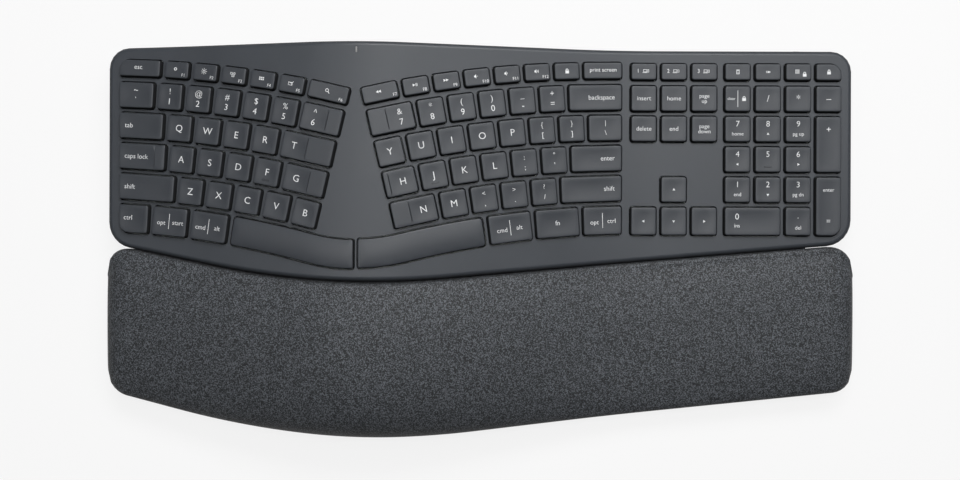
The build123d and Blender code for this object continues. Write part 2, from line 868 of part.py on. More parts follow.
def screw_forms(clearance):
    """Every case screw, grown by a clearance; a shank with a countersunk head, drawn with a few sides."""
    with BuildPart() as screws:
        for radius, length, taper in (
            (screw_head_radius - screw_clearance + clearance, screw_head_radius - screw_radius, countersink_angle),
            (screw_radius + clearance, screw_length, 0),
        ):
            with BuildSketch(Plane.XY.offset(foot_height)):
                with Locations(*body_bosses, *palm_bosses):
                    RegularPolygon(radius, screw_sides)
            extrude(amount=length, taper=taper)
    return screws.part


bay_top = foot_height + door_thickness + 2 * fit_gap + 2 * cell_radius
rib_left = peak_x - bay_length / 2 - bay_wall - door_border
rib_right = peak_x + bay_length / 2 + bay_wall + door_border
rib_xs = [rib_left - i * rib_pitch for i in range(ribs_left)]
rib_xs += [rib_right + i * rib_pitch for i in range(ribs_right)]
well_width = tall_leg_width + 2 * leg_gap
well_front = hinge_y - leg_thickness / 2 - well_gap
well_rear = hinge_y + tall_leg_length + leg_pad_thickness + well_gap
well_top = hinge_z + leg_thickness / 2 + well_gap
well_y = (well_front + well_rear) / 2
well_length = well_rear - well_front
leg_xs = (-leg_x, leg_x)
pin_length = well_width + 2 * pin_seat
partition_x = peak_x - bay_length / 2 + cell_length + 2 * contact_thickness + 4 * pilot_clearance + partition / 2
receiver_x = partition_x + partition / 2 + (peak_x + bay_length / 2 - partition_x - partition / 2) / 2
switch_y = rear_y - case_wall - pin_clearance - switch_depth / 2
foot_places = [
    (-half_body + foot_inset_x, rear_y - foot_inset_y),
    (peak_x, rear_y - foot_inset_y),
    (half_body - foot_inset_x, rear_y - foot_inset_y),
    (-half_palm + foot_inset_x, palm_front_y(-half_palm + foot_inset_x) + foot_inset_y),
    (peak_x, palm_front_y(peak_x) + foot_inset_y),
    (half_palm - foot_inset_x, palm_front_y(half_palm - foot_inset_x) + foot_inset_y),
]

board_front_y = board_rear_y - board_length
post_xs = [peak_x + sign * (board_width - board_post) / 2 for sign in (-1, 1)]
post_ys = [board_front_y + board_post / 2, bay_y + bay_width / 2 + bay_wall + board_post]
post_places = [(x, y) for x in post_xs for y in post_ys]

with BuildPart() as bottom_case:
    with BuildSketch(Plane.XY.offset(foot_height)):
        add(body_outline(bottom_inset))
        add(palm_outline(bottom_inset))
    extrude(amount=floor_thickness)
    with BuildSketch(Plane.XY.offset(foot_height)):
        with BuildLine():
            ends = (-half_body + 2 * front_corner_radius, seam_vee_x, half_body - 2 * front_corner_radius)
            rear_side = [(x, seam_y(x) + bottom_wall) for x in ends]
            front_side = [(x, seam_y(x) - bottom_wall) for x in reversed(ends)]
            Polyline(*rear_side, *front_side, close=True)
        make_face()
    extrude(amount=parting_z - foot_height)
    with BuildSketch(Plane.XY.offset(floor_z)):
        for outline in (body_outline, palm_outline):
            add(outline(bottom_inset))
            add(outline(bottom_inset + bottom_wall), mode=Mode.SUBTRACT)
    extrude(amount=parting_z - floor_z)
    with BuildSketch(Plane.XY.offset(floor_z)):
        for x in rib_xs:
            with Locations((x, (rib_front_y + rib_rear_y) / 2)):
                Rectangle(rib_thickness, rib_rear_y - rib_front_y)
    extrude(amount=peak_z - floor_z)
    add(arch_slab(body_outline(), -rib_headroom, under_plate_depth), mode=Mode.SUBTRACT)
    with BuildSketch(Plane.XY.offset(floor_z)):
        with Locations((peak_x, bay_y)):
            Rectangle(bay_length + 2 * bay_wall, bay_width + 2 * bay_wall)
    extrude(amount=bay_top + bay_wall - floor_z)
    with BuildSketch(Plane.XY.offset(floor_z)):
        for x in leg_xs:
            with Locations((x, well_y)):
                Rectangle(well_width + 2 * well_wall, well_length + 2 * well_wall)
    extrude(amount=well_top + well_wall - floor_z)
    with BuildSketch(Plane.XY.offset(floor_z)):
        with Locations(*post_places):
            Rectangle(board_post, board_post)
    extrude(amount=board_z - floor_z)
    with BuildSketch(Plane.XY.offset(floor_z)):
        with Locations((switch_x, switch_y)):
            Rectangle(switch_width, switch_depth)
    extrude(amount=switch_z - floor_z)
    with BuildSketch(Plane.XY.offset(foot_height)):
        with Locations((peak_x, bay_y)):
            Rectangle(bay_length, bay_width)
    extrude(amount=bay_top - foot_height, mode=Mode.SUBTRACT)
    with BuildSketch(Plane.XY.offset(foot_height)):
        with Locations((peak_x, bay_y)):
            Rectangle(bay_length + 2 * door_border, bay_width + 2 * door_border)
    extrude(amount=door_thickness + fit_gap, mode=Mode.SUBTRACT)
    with BuildSketch(Plane.XY.offset(floor_z)):
        with Locations((partition_x, bay_y)):
            Rectangle(partition, bay_width)
    extrude(amount=bay_top - floor_z)
    with BuildSketch(Plane.XY.offset(foot_height)):
        for x in leg_xs:
            with Locations((x, well_y)):
                Rectangle(well_width, well_length)
    extrude(amount=well_top - foot_height, mode=Mode.SUBTRACT)
    with BuildSketch(Plane.YZ.offset(-leg_x - pin_length / 2)):
        with Locations((hinge_y, hinge_z)):
            RegularPolygon(pin_radius + pilot_clearance, bore_sides)
    extrude(amount=pin_length, mode=Mode.SUBTRACT)
    with BuildSketch(Plane.YZ.offset(leg_x - pin_length / 2)):
        with Locations((hinge_y, hinge_z)):
            RegularPolygon(pin_radius + pilot_clearance, bore_sides)
    extrude(amount=pin_length, mode=Mode.SUBTRACT)
    add(screw_forms(screw_clearance), mode=Mode.SUBTRACT)
bottom_case.part.label = "bottom_case"
export_step(bottom_case.part, "parts/bottom_case.step")


# Screws: countersunk, up through the bottom case into the bosses

case_screws = screw_forms(0)
case_screws.label = "case_screws"
export_step(case_screws, "parts/case_screws.step")


# Battery bay: two cells, their contacts, the stored receiver and the door

cell_x = peak_x - bay_length / 2 + contact_thickness + cell_length / 2 + 2 * pilot_clearance
cell_z = foot_height + door_thickness + fit_gap + cell_radius
contact_xs = (cell_x - cell_length / 2 - contact_thickness / 2 - pilot_clearance,
              cell_x + cell_length / 2 + contact_thickness / 2 + pilot_clearance)

with BuildPart() as batteries:
    with BuildSketch(Plane.YZ.offset(cell_x - cell_length / 2)):
        for sign in (-1, 1):
            with Locations((bay_y + sign * cell_spacing / 2, cell_z)):
                RegularPolygon(cell_radius, cell_sides)
    extrude(amount=cell_length)
batteries.part.label = "batteries"
export_step(batteries.part, "parts/batteries.step")

with BuildPart() as battery_contacts:
    with BuildSketch(Plane.XY.offset(cell_z - contact_height / 2)):
        for x in contact_xs:
            for sign in (-1, 1):
                with Locations((x, bay_y + sign * cell_spacing / 2)):
                    Rectangle(contact_thickness, contact_width)
    extrude(amount=contact_height)
battery_contacts.part.label = "battery_contacts"
export_step(battery_contacts.part, "parts/battery_contacts.step")

with BuildPart() as usb_receiver:
    with BuildSketch(Plane.XY.offset(foot_height + door_thickness + fit_gap)):
        with Locations((receiver_x, bay_y)):
            Rectangle(receiver_width, receiver_length)
    extrude(amount=receiver_thickness)
usb_receiver.part.label = "usb_receiver"
export_step(usb_receiver.part, "parts/usb_receiver.step")

with BuildPart() as battery_door:
    with BuildSketch(Plane.XY.offset(foot_height)):
        with Locations((peak_x, bay_y)):
            Rectangle(bay_length + 2 * door_border - 2 * fit_gap, bay_width + 2 * door_border - 2 * fit_gap)
    extrude(amount=door_thickness)
    with BuildSketch(Plane.XY.offset(foot_height)):
        with Locations((peak_x - bay_length / 2 + finger_notch, bay_y)):
            Rectangle(finger_notch, finger_slot)
    extrude(amount=door_thickness / 2, mode=Mode.SUBTRACT)
battery_door.part.label = "battery_door"
export_step(battery_door.part, "parts/battery_door.step")


# Circuit board, light pipe and power switch

with BuildPart() as circuit_board:
    with BuildSketch(Plane.XY.offset(board_z)):
        with Locations((peak_x, board_rear_y - board_length / 2)):
            Rectangle(board_width, board_length)
    extrude(amount=board_thickness)
    with BuildSketch(Plane.XY.offset(board_z + board_thickness)):
        with Locations((peak_x - chip_width, bay_y), (peak_x + chip_width, bay_y)):
            Rectangle(chip_width, chip_width)
    extrude(amount=chip_thickness)
circuit_board.part.label = "circuit_board"
export_step(circuit_board.part, "parts/circuit_board.step")

with BuildPart() as status_light_pipe:
    with BuildSketch(Plane.XY.offset(board_z + board_thickness + fit_gap)):
        with Locations((peak_x, light_y)):
            Rectangle(light_width, light_length)
    extrude(amount=peak_z - board_z - board_thickness - fit_gap)
status_light_pipe.part.label = "status_light_pipe"
export_step(status_light_pipe.part, "parts/status_light_pipe.step")

with BuildPart() as power_switch_body:
    with BuildSketch(Plane.XY.offset(switch_z)):
        with Locations((switch_x, switch_y)):
            Rectangle(switch_width, switch_depth)
    extrude(amount=switch_height)
power_switch_body.part.label = "power_switch_body"
export_step(power_switch_body.part, "parts/power_switch_body.step")

with BuildPart() as power_switch_knob:
    knob_y = switch_y + switch_depth / 2 + pin_clearance
    with BuildSketch(Plane.XZ.offset(-knob_y)):
        with Locations((switch_x - switch_travel / 2, switch_z + switch_height / 2)):
            Rectangle(knob_width, knob_height)
    extrude(amount=knob_y - rear_y - knob_proud)
power_switch_knob.part.label = "power_switch_knob"
export_step(power_switch_knob.part, "parts/power_switch_knob.step")


# Palm-lift legs: a short leg folded inside a tall one on each side, on one steel pin

for side, x in (("left", -leg_x), ("right", leg_x)):
    bore = Plane(origin=(x - pin_length / 2, hinge_y, hinge_z), x_dir=(0, 1, 0), z_dir=(1, 0, 0))
    legs = (
        ("tall_leg", tall_leg_width, tall_leg_length, short_leg_width + 2 * leg_gap),
        ("short_leg", short_leg_width, short_leg_length, 0),
    )
    for leg, width, length, window in legs:
        with BuildPart() as blade:
            with BuildSketch(Plane(origin=(x, hinge_y, hinge_z - leg_thickness / 2))):
                with Locations((0, length / 2)):
                    Rectangle(width, length)
            extrude(amount=leg_thickness)
            with BuildSketch(Plane(origin=(x - width / 2, hinge_y, hinge_z), x_dir=(0, 1, 0), z_dir=(1, 0, 0))):
                RegularPolygon(leg_thickness / 2, bore_sides)
            extrude(amount=width)
            if window:
                window_rear = length - leg_bar
                with BuildSketch(Plane(origin=(x, hinge_y, hinge_z))):
                    with Locations((0, (window_rear - leg_thickness) / 2)):
                        Rectangle(window, window_rear + leg_thickness)
                extrude(amount=leg_thickness, both=True, mode=Mode.SUBTRACT)
            with BuildSketch(bore):
                RegularPolygon(pin_radius + pin_clearance, bore_sides)
            extrude(amount=pin_length, mode=Mode.SUBTRACT)
        node = f"{leg}_{side}"
        blade.part.label = node
        export_step(blade.part, f"parts/{node}.step")
        with BuildPart() as pad:
            tip = Plane(origin=(x, hinge_y + length, hinge_z), x_dir=(1, 0, 0), z_dir=(0, 1, 0))
            with BuildSketch(tip):
                Rectangle(width * leg_pad_share, leg_pad_height)
            extrude(amount=leg_pad_thickness)
        pad.part.label = f"{node}_pad"
        export_step(pad.part, f"parts/{node}_pad.step")

with BuildPart() as leg_pins:
    for x in leg_xs:
        with BuildSketch(Plane(origin=(x - pin_length / 2, hinge_y, hinge_z), x_dir=(0, 1, 0), z_dir=(1, 0, 0))):
            Circle(pin_radius)
        extrude(amount=pin_length)
leg_pins.part.label = "leg_pins"
export_step(leg_pins.part, "parts/leg_pins.step")


# Rubber feet on the desk

with BuildPart() as rubber_feet:
    with BuildSketch(Plane.XY) as feet_plan:
        with Locations(*foot_places):
            Rectangle(foot_length, foot_width)
        chamfer(feet_plan.vertices(), length=foot_corner)
    extrude(amount=foot_height)
rubber_feet.part.label = "rubber_feet"
export_step(rubber_feet.part, "parts/rubber_feet.step")
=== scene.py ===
"""Looks of an ergonomic split keyboard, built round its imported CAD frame.

+X points right, +Y away from the typist, +Z up. Meshes are worked out in millimetres, as in the CAD, and finished
in metres.
"""

import json
from math import asin, atan, ceil, cos, pi, radians, sin, sqrt, tan

import bmesh
import bpy
from mathutils import Matrix, Vector
from mathutils.geometry import area_tri, convex_hull_2d, delaunay_2d_cdt


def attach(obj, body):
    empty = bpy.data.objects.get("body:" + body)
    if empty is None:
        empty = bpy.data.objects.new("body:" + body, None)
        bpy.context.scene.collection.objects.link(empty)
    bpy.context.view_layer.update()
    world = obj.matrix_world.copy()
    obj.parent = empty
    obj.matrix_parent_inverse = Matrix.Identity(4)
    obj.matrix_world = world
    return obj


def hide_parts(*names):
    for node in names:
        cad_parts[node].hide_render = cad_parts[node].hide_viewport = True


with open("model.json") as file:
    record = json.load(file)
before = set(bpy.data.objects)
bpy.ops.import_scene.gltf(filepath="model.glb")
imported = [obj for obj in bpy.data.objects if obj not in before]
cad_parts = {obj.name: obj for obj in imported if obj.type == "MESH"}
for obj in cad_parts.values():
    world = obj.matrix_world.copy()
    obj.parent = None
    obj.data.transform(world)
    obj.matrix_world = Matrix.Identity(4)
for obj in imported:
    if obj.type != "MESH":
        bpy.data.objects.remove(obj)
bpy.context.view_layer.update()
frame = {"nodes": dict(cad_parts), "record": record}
scene = bpy.context.scene
MM = 0.001

# Camera
# Straight above the middle of the keyboard, as the photograph was taken, with the frame shifted and turned by
# the little that the keyboard lies askew in it.

camera_place = (-0.00037, 0.00077, 0.6057)
camera_lens = 36.21
camera_roll = radians(0.188)

camera_data = bpy.data.cameras.new("camera")
camera_data.lens = camera_lens
camera_data.sensor_width = 36.0
camera_data.clip_start = 0.01
camera = bpy.data.objects.new("camera", camera_data)
camera.location = camera_place
camera.rotation_euler = (0, 0, camera_roll)
scene.collection.objects.link(camera)
scene.camera = camera

# Studio
# A plain pale floor and backdrop that the camera sees almost white, two soft boxes behind the keyboard that light
# the rounded rims, three broad ones overhead, and a faint surround.

floor_size = 3.0
floor_colour = (0.86, 0.86, 0.86, 1)
paper_white = (1.0, 1.0, 1.0, 1)
surround_low = 0.03
surround_high = 0.1
floor_glow = 0.82
soft_boxes = (
    ("rear_middle_box", (0.0, 0.85, 0.90), (0.5, 0.4), 5.2),
    ("rear_right_box", (0.45, 0.80, 0.95), (0.7, 0.4), 4.6),
    ("top_left_box", (-0.45, 0.10, 1.30), (0.7, 0.9), 3.1),
    ("top_middle_box", (0.10, 0.25, 1.35), (0.5, 0.7), 2.6),
    ("top_right_box", (0.60, 0.25, 1.25), (0.5, 0.9), 2.1),
)


def nodes_of(tree):
    """Empties a node tree and returns short ways to add a node with what feeds it, a sum and a mapped range."""
    tree.nodes.clear()

    def node(kind, feeds=None, **settings):
        made = tree.nodes.new(kind)
        for name, value in settings.items():
            setattr(made, name, value)
        for socket, value in (feeds or {}).items():
            for one in value if isinstance(value, list) else [value]:
                if isinstance(one, bpy.types.NodeSocket):
                    tree.links.new(one, made.inputs[socket])
                else:
                    made.inputs[socket].default_value = one
        return made

    def math(operation, *values):
        return node("ShaderNodeMath", dict(enumerate(values)), operation=operation).outputs[0]

    def mapped(value, low=0.0, high=1.0, to_low=0.0, to_high=1.0):
        ends = {"Value": value, "From Min": low, "From Max": high, "To Min": to_low, "To Max": to_high}
        return node("ShaderNodeMapRange", ends).outputs["Result"]

    return node, math, mapped


floor_mesh = bpy.data.meshes.new("floor")
half = floor_size / 2
floor_corners = [(-half, -half, 0), (half, -half, 0), (half, half, 0), (-half, half, 0)]
floor_mesh.from_pydata(floor_corners, [], [(0, 1, 2, 3)])
floor = bpy.data.objects.new("floor", floor_mesh)
scene.collection.objects.link(floor)
floor_material = bpy.data.materials.new("studio_paper")
floor_material.use_nodes = True
node, math, mapped = nodes_of(floor_material.node_tree)
diffuse = node("ShaderNodeBsdfDiffuse", {"Color": floor_colour})
glow = node("ShaderNodeEmission", {"Color": paper_white})
seen = math("MULTIPLY", node("ShaderNodeLightPath").outputs["Is Camera Ray"], floor_glow)
paper = node("ShaderNodeMixShader", {"Fac": seen, 1: diffuse.outputs[0], 2: glow.outputs[0]})
node("ShaderNodeOutputMaterial", {"Surface": paper.outputs[0]})
floor_mesh.materials.append(floor_material)

world = bpy.data.worlds.new("surround")
world.use_nodes = True
node, math, mapped = nodes_of(world.node_tree)
height = node("ShaderNodeSeparateXYZ", {0: node("ShaderNodeTexCoord").outputs["Generated"]}).outputs["Z"]
strength = mapped(height, to_low=surround_low, to_high=surround_high)
surround = node("ShaderNodeBackground", {"Color": paper_white, "Strength": strength})
backdrop = node("ShaderNodeBackground", {"Color": paper_white})
seen = node("ShaderNodeLightPath").outputs["Is Camera Ray"]
mix = node("ShaderNodeMixShader", {"Fac": seen, 1: surround.outputs[0], 2: backdrop.outputs[0]})
node("ShaderNodeOutputWorld", {"Surface": mix.outputs[0]})
scene.world = world

for name, place, size, watts in soft_boxes:
    light = bpy.data.lights.new(name, "AREA")
    light.shape = "RECTANGLE"
    light.size, light.size_y = size
    light.energy = watts
    lamp = bpy.data.objects.new(name, light)
    lamp.location = place
    lamp.rotation_euler = (-Vector(place)).to_track_quat("-Z", "Y").to_euler()
    scene.collection.objects.link(lamp)
scene.view_settings.view_transform = "Standard"


# Case top
# One injection-moulded shell in dark graphite plastic with a fine matt texture. It is an arch that rises to a
# hump between the hands, has a strongly rounded rim and an opening with softened edges for every key.

body_width = 452.0
rear_y = 116.5
peak_x = -72.5
flat_z = 18.2
flank = radians(11.2)
hump_radius = 153.5
valley_radius = 297.5
right_flank = 96.5
left_flank = 59.8
left_sweep_radius = 929.5
rear_corner = 12.5
front_corner = 16.0
seam_vee = (-91.6, -27.8)
seam_slopes = (tan(radians(10.8)), tan(radians(4.8)))
seam_radius = 530.0
parting_z = 8.0
case_wall = 2.2
rim_radius = 3.0
opening_gap = 0.4
opening_edge = 0.35
key_corner = 1.7
outer_key_corner = 6.5
outline_step = 4.0
case_colour = (0.051, 0.0575, 0.068, 1)

hump_half = hump_radius * flank
peak_z = flat_z + (hump_radius + valley_radius) * (1 - cos(flank)) + right_flank * sin(flank)


def arch_z(x):
    """Height of the case top over x."""
    across = abs(x - peak_x)
    if across <= hump_radius * sin(flank):
        return peak_z - hump_radius + sqrt(hump_radius**2 - across**2)
    z = peak_z - hump_radius * (1 - cos(flank))
    straight = right_flank if x > peak_x else left_flank
    sweep = valley_radius if x > peak_x else left_sweep_radius
    across -= hump_radius * sin(flank)
    if across <= straight * cos(flank):
        return z - across * tan(flank)
    z -= straight * sin(flank)
    turn = flank - asin(max(sin(flank) - (across - straight * cos(flank)) / sweep, 0))
    return z - sweep * (cos(flank - turn) - cos(flank))


def turned(way, angle):
    """A direction in plan, turned anticlockwise by an angle."""
    return Vector((way.x * cos(angle) - way.y * sin(angle), way.x * sin(angle) + way.y * cos(angle)))


def box(x, y, w, h):
    """Corners of an upright rectangle about its middle, anticlockwise from the lower left."""
    return [(x - w / 2, y - h / 2), (x + w / 2, y - h / 2), (x + w / 2, y + h / 2), (x - w / 2, y + h / 2)]


def rounded_path(corners, radii, step):
    """Closed path as (point, outward normal) pairs, anticlockwise, with rounded corners and even steps."""
    count = len(corners)
    path = []
    for i, corner in enumerate(corners):
        corner = Vector(corner)
        before = (corner - Vector(corners[i - 1])).normalized()
        after = (Vector(corners[(i + 1) % count]) - corner).normalized()
        turn = before.angle(after)
        radius = radii[i]
        reach = radius * tan(turn / 2)
        start = corner - before * reach
        centre = start + Vector((-before.y, before.x)) * radius
        arc_steps = max(int(ceil(radius * turn / step)), 4)
        first = Vector((before.y, -before.x))
        if path:
            last = path[-1][0]
            runs = max(int((start - last).length / step), 1)
            path += [(last.lerp(start, k / runs), first) for k in range(1, runs)]
        for k in range(arc_steps + 1):
            angle = turn * k / arc_steps
            normal = turned(first, angle)
            path.append((centre + normal * radius, normal))
    last, start = path[-1][0], path[0][0]
    runs = max(int((start - last).length / step), 1)
    path += [(last.lerp(start, k / runs), path[-1][1]) for k in range(1, runs)]
    return path


def inset_ring(path, inset):
    """Points of a path drawn in by an inset."""
    return [point - normal * inset for point, normal in path]


def inside(point, ring):
    """True where a point lies inside a closed ring of points."""
    hit = False
    for a, b in zip(ring, ring[1:] + ring[:1]):
        if (a[1] > point[1]) != (b[1] > point[1]):
            if point[0] < a[0] + (b[0] - a[0]) * (point[1] - a[1]) / (b[1] - a[1]):
                hit = not hit
    return hit


def ring_box(ring):
    """Lowest and highest x and y of a ring."""
    return min(p[0] for p in ring), max(p[0] for p in ring), min(p[1] for p in ring), max(p[1] for p in ring)


smallest_area = 0.002


def fill_plan(outer, holes, extra):
    """Triangles between an outer ring and holes, through extra points; returns the points and the triangles."""
    points, edges = [], []
    for ring in [outer] + holes:
        start = len(points)
        points += [Vector(p) for p in ring]
        edges += [(start + k, start + (k + 1) % len(ring)) for k in range(len(ring))]
    points += [Vector(p) for p in extra]
    found = delaunay_2d_cdt(points, edges, [], 0, 1e-6, True)
    triangles = [[found[3][i][0] for i in face] for face in found[2]]
    walls = {frozenset(edge) for edge in edges}
    sides = [[frozenset(pair) for pair in ((a, b), (b, c), (c, a))] for a, b, c in triangles]
    beside = {}
    for number, three in enumerate(sides):
        for side in three:
            beside.setdefault(side, []).append(number)
    kept, left = [], set(range(len(triangles)))
    while left:
        region, edge = [], [left.pop()]
        while edge:
            region.append(edge.pop())
            for side in sides[region[-1]]:
                if side not in walls:
                    reached = [number for number in beside[side] if number in left]
                    left.difference_update(reached)
                    edge += reached
        corners = max(([points[i] for i in triangles[number]] for number in region), key=lambda c: area_tri(*c))
        middle = sum(corners, Vector((0, 0))) / 3
        in_hole = any(inside(middle, ring) for ring in holes)
        if area_tri(*corners) > smallest_area and inside(middle, outer) and not in_hole:
            kept += [triangles[number] for number in region]
    return points, kept


def bridge(mesh, lower, upper):
    """Quads between two closed rings of vertices, outwards when the rings run anticlockwise, low to high."""
    count = len(lower)
    for k in range(count):
        mesh.faces.new((lower[k], lower[(k + 1) % count], upper[(k + 1) % count], upper[k]))


def finish_piece(name, mesh, body, slot, material, sharp=35.0):
    """Makes a piece in metres out of millimetre geometry, smooth up to an angle, and lets it ride on a body."""
    data = bpy.data.meshes.new(name)
    mesh.to_mesh(data)
    mesh.free()
    data.transform(Matrix.Scale(MM, 4))
    data.shade_smooth()
    data.set_sharp_from_angle(angle=radians(sharp))
    data.materials.append(material)
    piece = bpy.data.objects.new(name, data)
    scene.collection.objects.link(piece)
    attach(piece, body)
    return piece


noise_low, noise_high = 0.35, 0.65
fine_share, flow_share = 0.55, 0.45
flow_scale = 28.0
# Painted shade: steep sides are darkened by a factor that fades in over this range of the upward normal.
painted_shade_fade = 0.45


def shader_group(name, values):
    """New shader group that gives a colour, a roughness and a height out of named values."""
    tree = bpy.data.node_groups.new(name, "ShaderNodeTree")
    for label, value in values.items():
        kind = "NodeSocketColor" if isinstance(value, tuple) else "NodeSocketFloat"
        tree.interface.new_socket(label, in_out="INPUT", socket_type=kind).default_value = value
    for label, kind in (("Colour", "Color"), ("Roughness", "Float"), ("Height", "Float")):
        tree.interface.new_socket(label, in_out="OUTPUT", socket_type=f"NodeSocket{kind}")
    node, math, mapped = nodes_of(tree)
    return tree, node, math, mapped, node("NodeGroupInput").outputs, node("ShaderNodeTexCoord").outputs


def moulded_grain():
    """Shader group of a moulded surface: fine texture, faint flow marks, and painted shade with higher roughness
    on steep sides.
    """
    tree, node, math, mapped, given, place = shader_group("moulded_grain", {
        "Colour": (0.05, 0.05, 0.05, 1), "Colour Shift": 0.12, "Grain Size": 0.25, "Roughness Low": 0.4,
        "Roughness High": 0.5, "Side Shade": 1.0, "Side Limit": 0.85})
    size = math("DIVIDE", 1 / MM, given["Grain Size"])
    noises = []
    for scale, detail in ((size, 3.0), (flow_scale, 5.0)):
        noises.append(node("ShaderNodeTexNoise", {"Vector": place["Object"], "Scale": scale, "Detail": detail}))
    fine, flow = (noise.outputs["Fac"] for noise in noises)
    both = math("MULTIPLY_ADD", fine, fine_share, math("MULTIPLY", flow, flow_share))
    rough = mapped(both, noise_low, noise_high, given["Roughness Low"], given["Roughness High"])
    darkest = math("SUBTRACT", 1.0, given["Colour Shift"])
    shade = mapped(both, noise_low, noise_high, darkest, math("ADD", 1.0, given["Colour Shift"]))
    upward = node("ShaderNodeSeparateXYZ", {0: place["Normal"]}).outputs["Z"]
    steep = math("SUBTRACT", given["Side Limit"], painted_shade_fade)
    painted_shade_factor = mapped(upward, steep, given["Side Limit"], given["Side Shade"])
    shade = math("MULTIPLY", shade, painted_shade_factor)
    tint = node("ShaderNodeVectorMath", {0: given["Colour"], "Scale": shade}, operation="SCALE")
    duller = node("ShaderNodeMath", {0: rough, 1: painted_shade_factor}, operation="DIVIDE", use_clamp=True).outputs[0]
    node("NodeGroupOutput", {"Colour": tint.outputs[0], "Roughness": duller, "Height": fine})
    return tree


def dressed(name, group, values, surface, bump, depth):
    """Material whose colour, roughness and relief come from a shader group, with the values of its own surface."""
    material = bpy.data.materials.new(name)
    material.use_nodes = True
    node, math, mapped = nodes_of(material.node_tree)
    made = node("ShaderNodeGroup", node_tree=group)
    for label, value in values.items():
        made.inputs[label].default_value = value
    relief = node("ShaderNodeBump", {"Strength": bump, "Distance": depth, "Height": made.outputs["Height"]})
    shader = node("ShaderNodeBsdfPrincipled", {
        **surface, "Base Color": made.outputs["Colour"], "Roughness": made.outputs["Roughness"],
        "Normal": relief.outputs["Normal"]})
    node("ShaderNodeOutputMaterial", {"Surface": shader.outputs[0]})
    return material


grain = moulded_grain()
grain_depth = 0.0002


def moulded(name, colour, roughness=(0.42, 0.52), size=0.3, shift=0.1, bump=0.05, metallic=0.0, side=(1.0, 0.85)):
    """Material of a moulded, rolled or plated surface with the shared grain; its steep sides may carry painted
    shade.
    """
    values = {"Colour": colour, "Colour Shift": shift, "Grain Size": size, "Roughness Low": roughness[0],
              "Roughness High": roughness[1], "Side Shade": side[0], "Side Limit": side[1]}
    return dressed(name, grain, values, {"Metallic": metallic, "Specular IOR Level": 0.5}, bump, grain_depth)


# Painted shade darkens the rounded rim and the walls of the openings, where the upward normal drops below 0.97.
case_plastic = moulded("case_plastic", case_colour, (0.33, 0.43), 0.25, 0.08, bump=0.12, side=(0.4, 0.97))


key_skirt = 2.4
key_rise = 2.6
key_step = 1.2
face_limit = 0.9
side_limit = 0.93
same_line = 0.999
wide_cut = 4.0


class KeyPlace:
    """Where one keycap of the CAD stands, and its outline, read from its solid."""

    def __init__(self, faces):
        up, back = Vector(), Vector()
        for face in faces:
            if face.normal.z < -face_limit:
                up -= face.normal * face.calc_area()
            elif face.normal.y < -face_limit:
                back -= face.normal * face.calc_area()
        self.up = up.normalized()
        self.back = (back - self.up * back.dot(self.up)).normalized()
        self.right = self.back.cross(self.up)
        corners = {vertex for face in faces for vertex in face.verts}
        low = min(vertex.co.dot(self.up) for vertex in corners)
        base = [vertex.co / MM for vertex in corners if vertex.co.dot(self.up) < low + 0.01 * MM]
        flat = [Vector((point.dot(self.right), point.dot(self.back))) for point in base]
        hull = [flat[i] for i in convex_hull_2d(flat)]
        self.low = low / MM
        sides = []
        for a, b in zip(hull, hull[1:] + hull[:1]):
            along = (b - a).normalized()
            if max(abs(along.x), abs(along.y)) > side_limit and (b - a).length > 1.0:
                if sides and sides[-1][1].dot(along) > same_line:
                    sides[-1] = (sides[-1][0], along, sides[-1][2], b)
                else:
                    sides.append((a, along, a, b))
        if sides[0][1].dot(sides[-1][1]) > same_line:
            last = sides.pop()
            sides[0] = (last[0], last[1], last[2], sides[0][3])
        self.corners, self.radii = [], []
        for before, after in zip(sides[-1:] + sides[:-1], sides):
            a, along, _, end = before
            b, across, start, _ = after
            cross = along.x * across.y - along.y * across.x
            reach = ((b.x - a.x) * across.y - (b.y - a.y) * across.x) / cross
            self.corners.append(a + along * reach)
            self.radii.append(outer_key_corner if (start - end).length > wide_cut else key_corner)
        lows = [min(c[i] for c in self.corners) for i in (0, 1)]
        highs = [max(c[i] for c in self.corners) for i in (0, 1)]
        self.middle = Vector(((lows[0] + highs[0]) / 2, (lows[1] + highs[1]) / 2))
        self.size = (highs[0] - lows[0], highs[1] - lows[1])
        self.world = self.at(self.middle.x, self.middle.y, 0)

    def at(self, u, v, height):
        """Point at u, v of the key's plane, a height above the case top."""
        return self.right * u + self.back * v + self.up * (self.low + key_skirt + height)

    def path(self, grow=0.0):
        """Rounded outline as a path of points and normals, grown by a clearance."""
        path = rounded_path(self.corners, self.radii, key_step)
        return [(point + normal * grow, normal) for point, normal in path] if grow else path


block_nodes = ("navigation_keys", "arrow_keys", "numpad_digit_keys")
block_row = 9.0


def key_places(name):
    """The keycaps of a CAD node, by rows from the rear and from left to right."""
    mesh = bmesh.new()
    mesh.from_mesh(frame["nodes"][name].data)
    bmesh.ops.remove_doubles(mesh, verts=mesh.verts, dist=1e-7)
    mesh.normal_update()
    left = set(mesh.faces)
    places = []
    while left:
        island, edge = set(), [left.pop()]
        while edge:
            face = edge.pop()
            island.add(face)
            for side in face.edges:
                for other in side.link_faces:
                    if other in left:
                        left.discard(other)
                        edge.append(other)
        places.append(KeyPlace(island))
    mesh.free()
    if name in block_nodes:
        return sorted(places, key=lambda place: (-round(place.world.y / block_row), place.world.x))
    return sorted(places, key=lambda place: place.world.x)


key_words = ("_key", "letters", "operators")
key_nodes = [name for name in frame["nodes"] if any(word in name for word in key_words)]
key_table = {name: key_places(name) for name in key_nodes}

row_radius = 636.0
home_y = 50.1
bottom_y = home_y - 18.4 - 19.2
bar_rows = {-1: (-173.9, 98.7, 1.4), 1: (168.6, -93.3, 0.45)}
bar_bend = 26.3
bar_length = 17.45
bar_middle_gap = 1.0
bar_corners = (2.4, 1.5)
sharp_turn = radians(30)
end_margin = 0.5


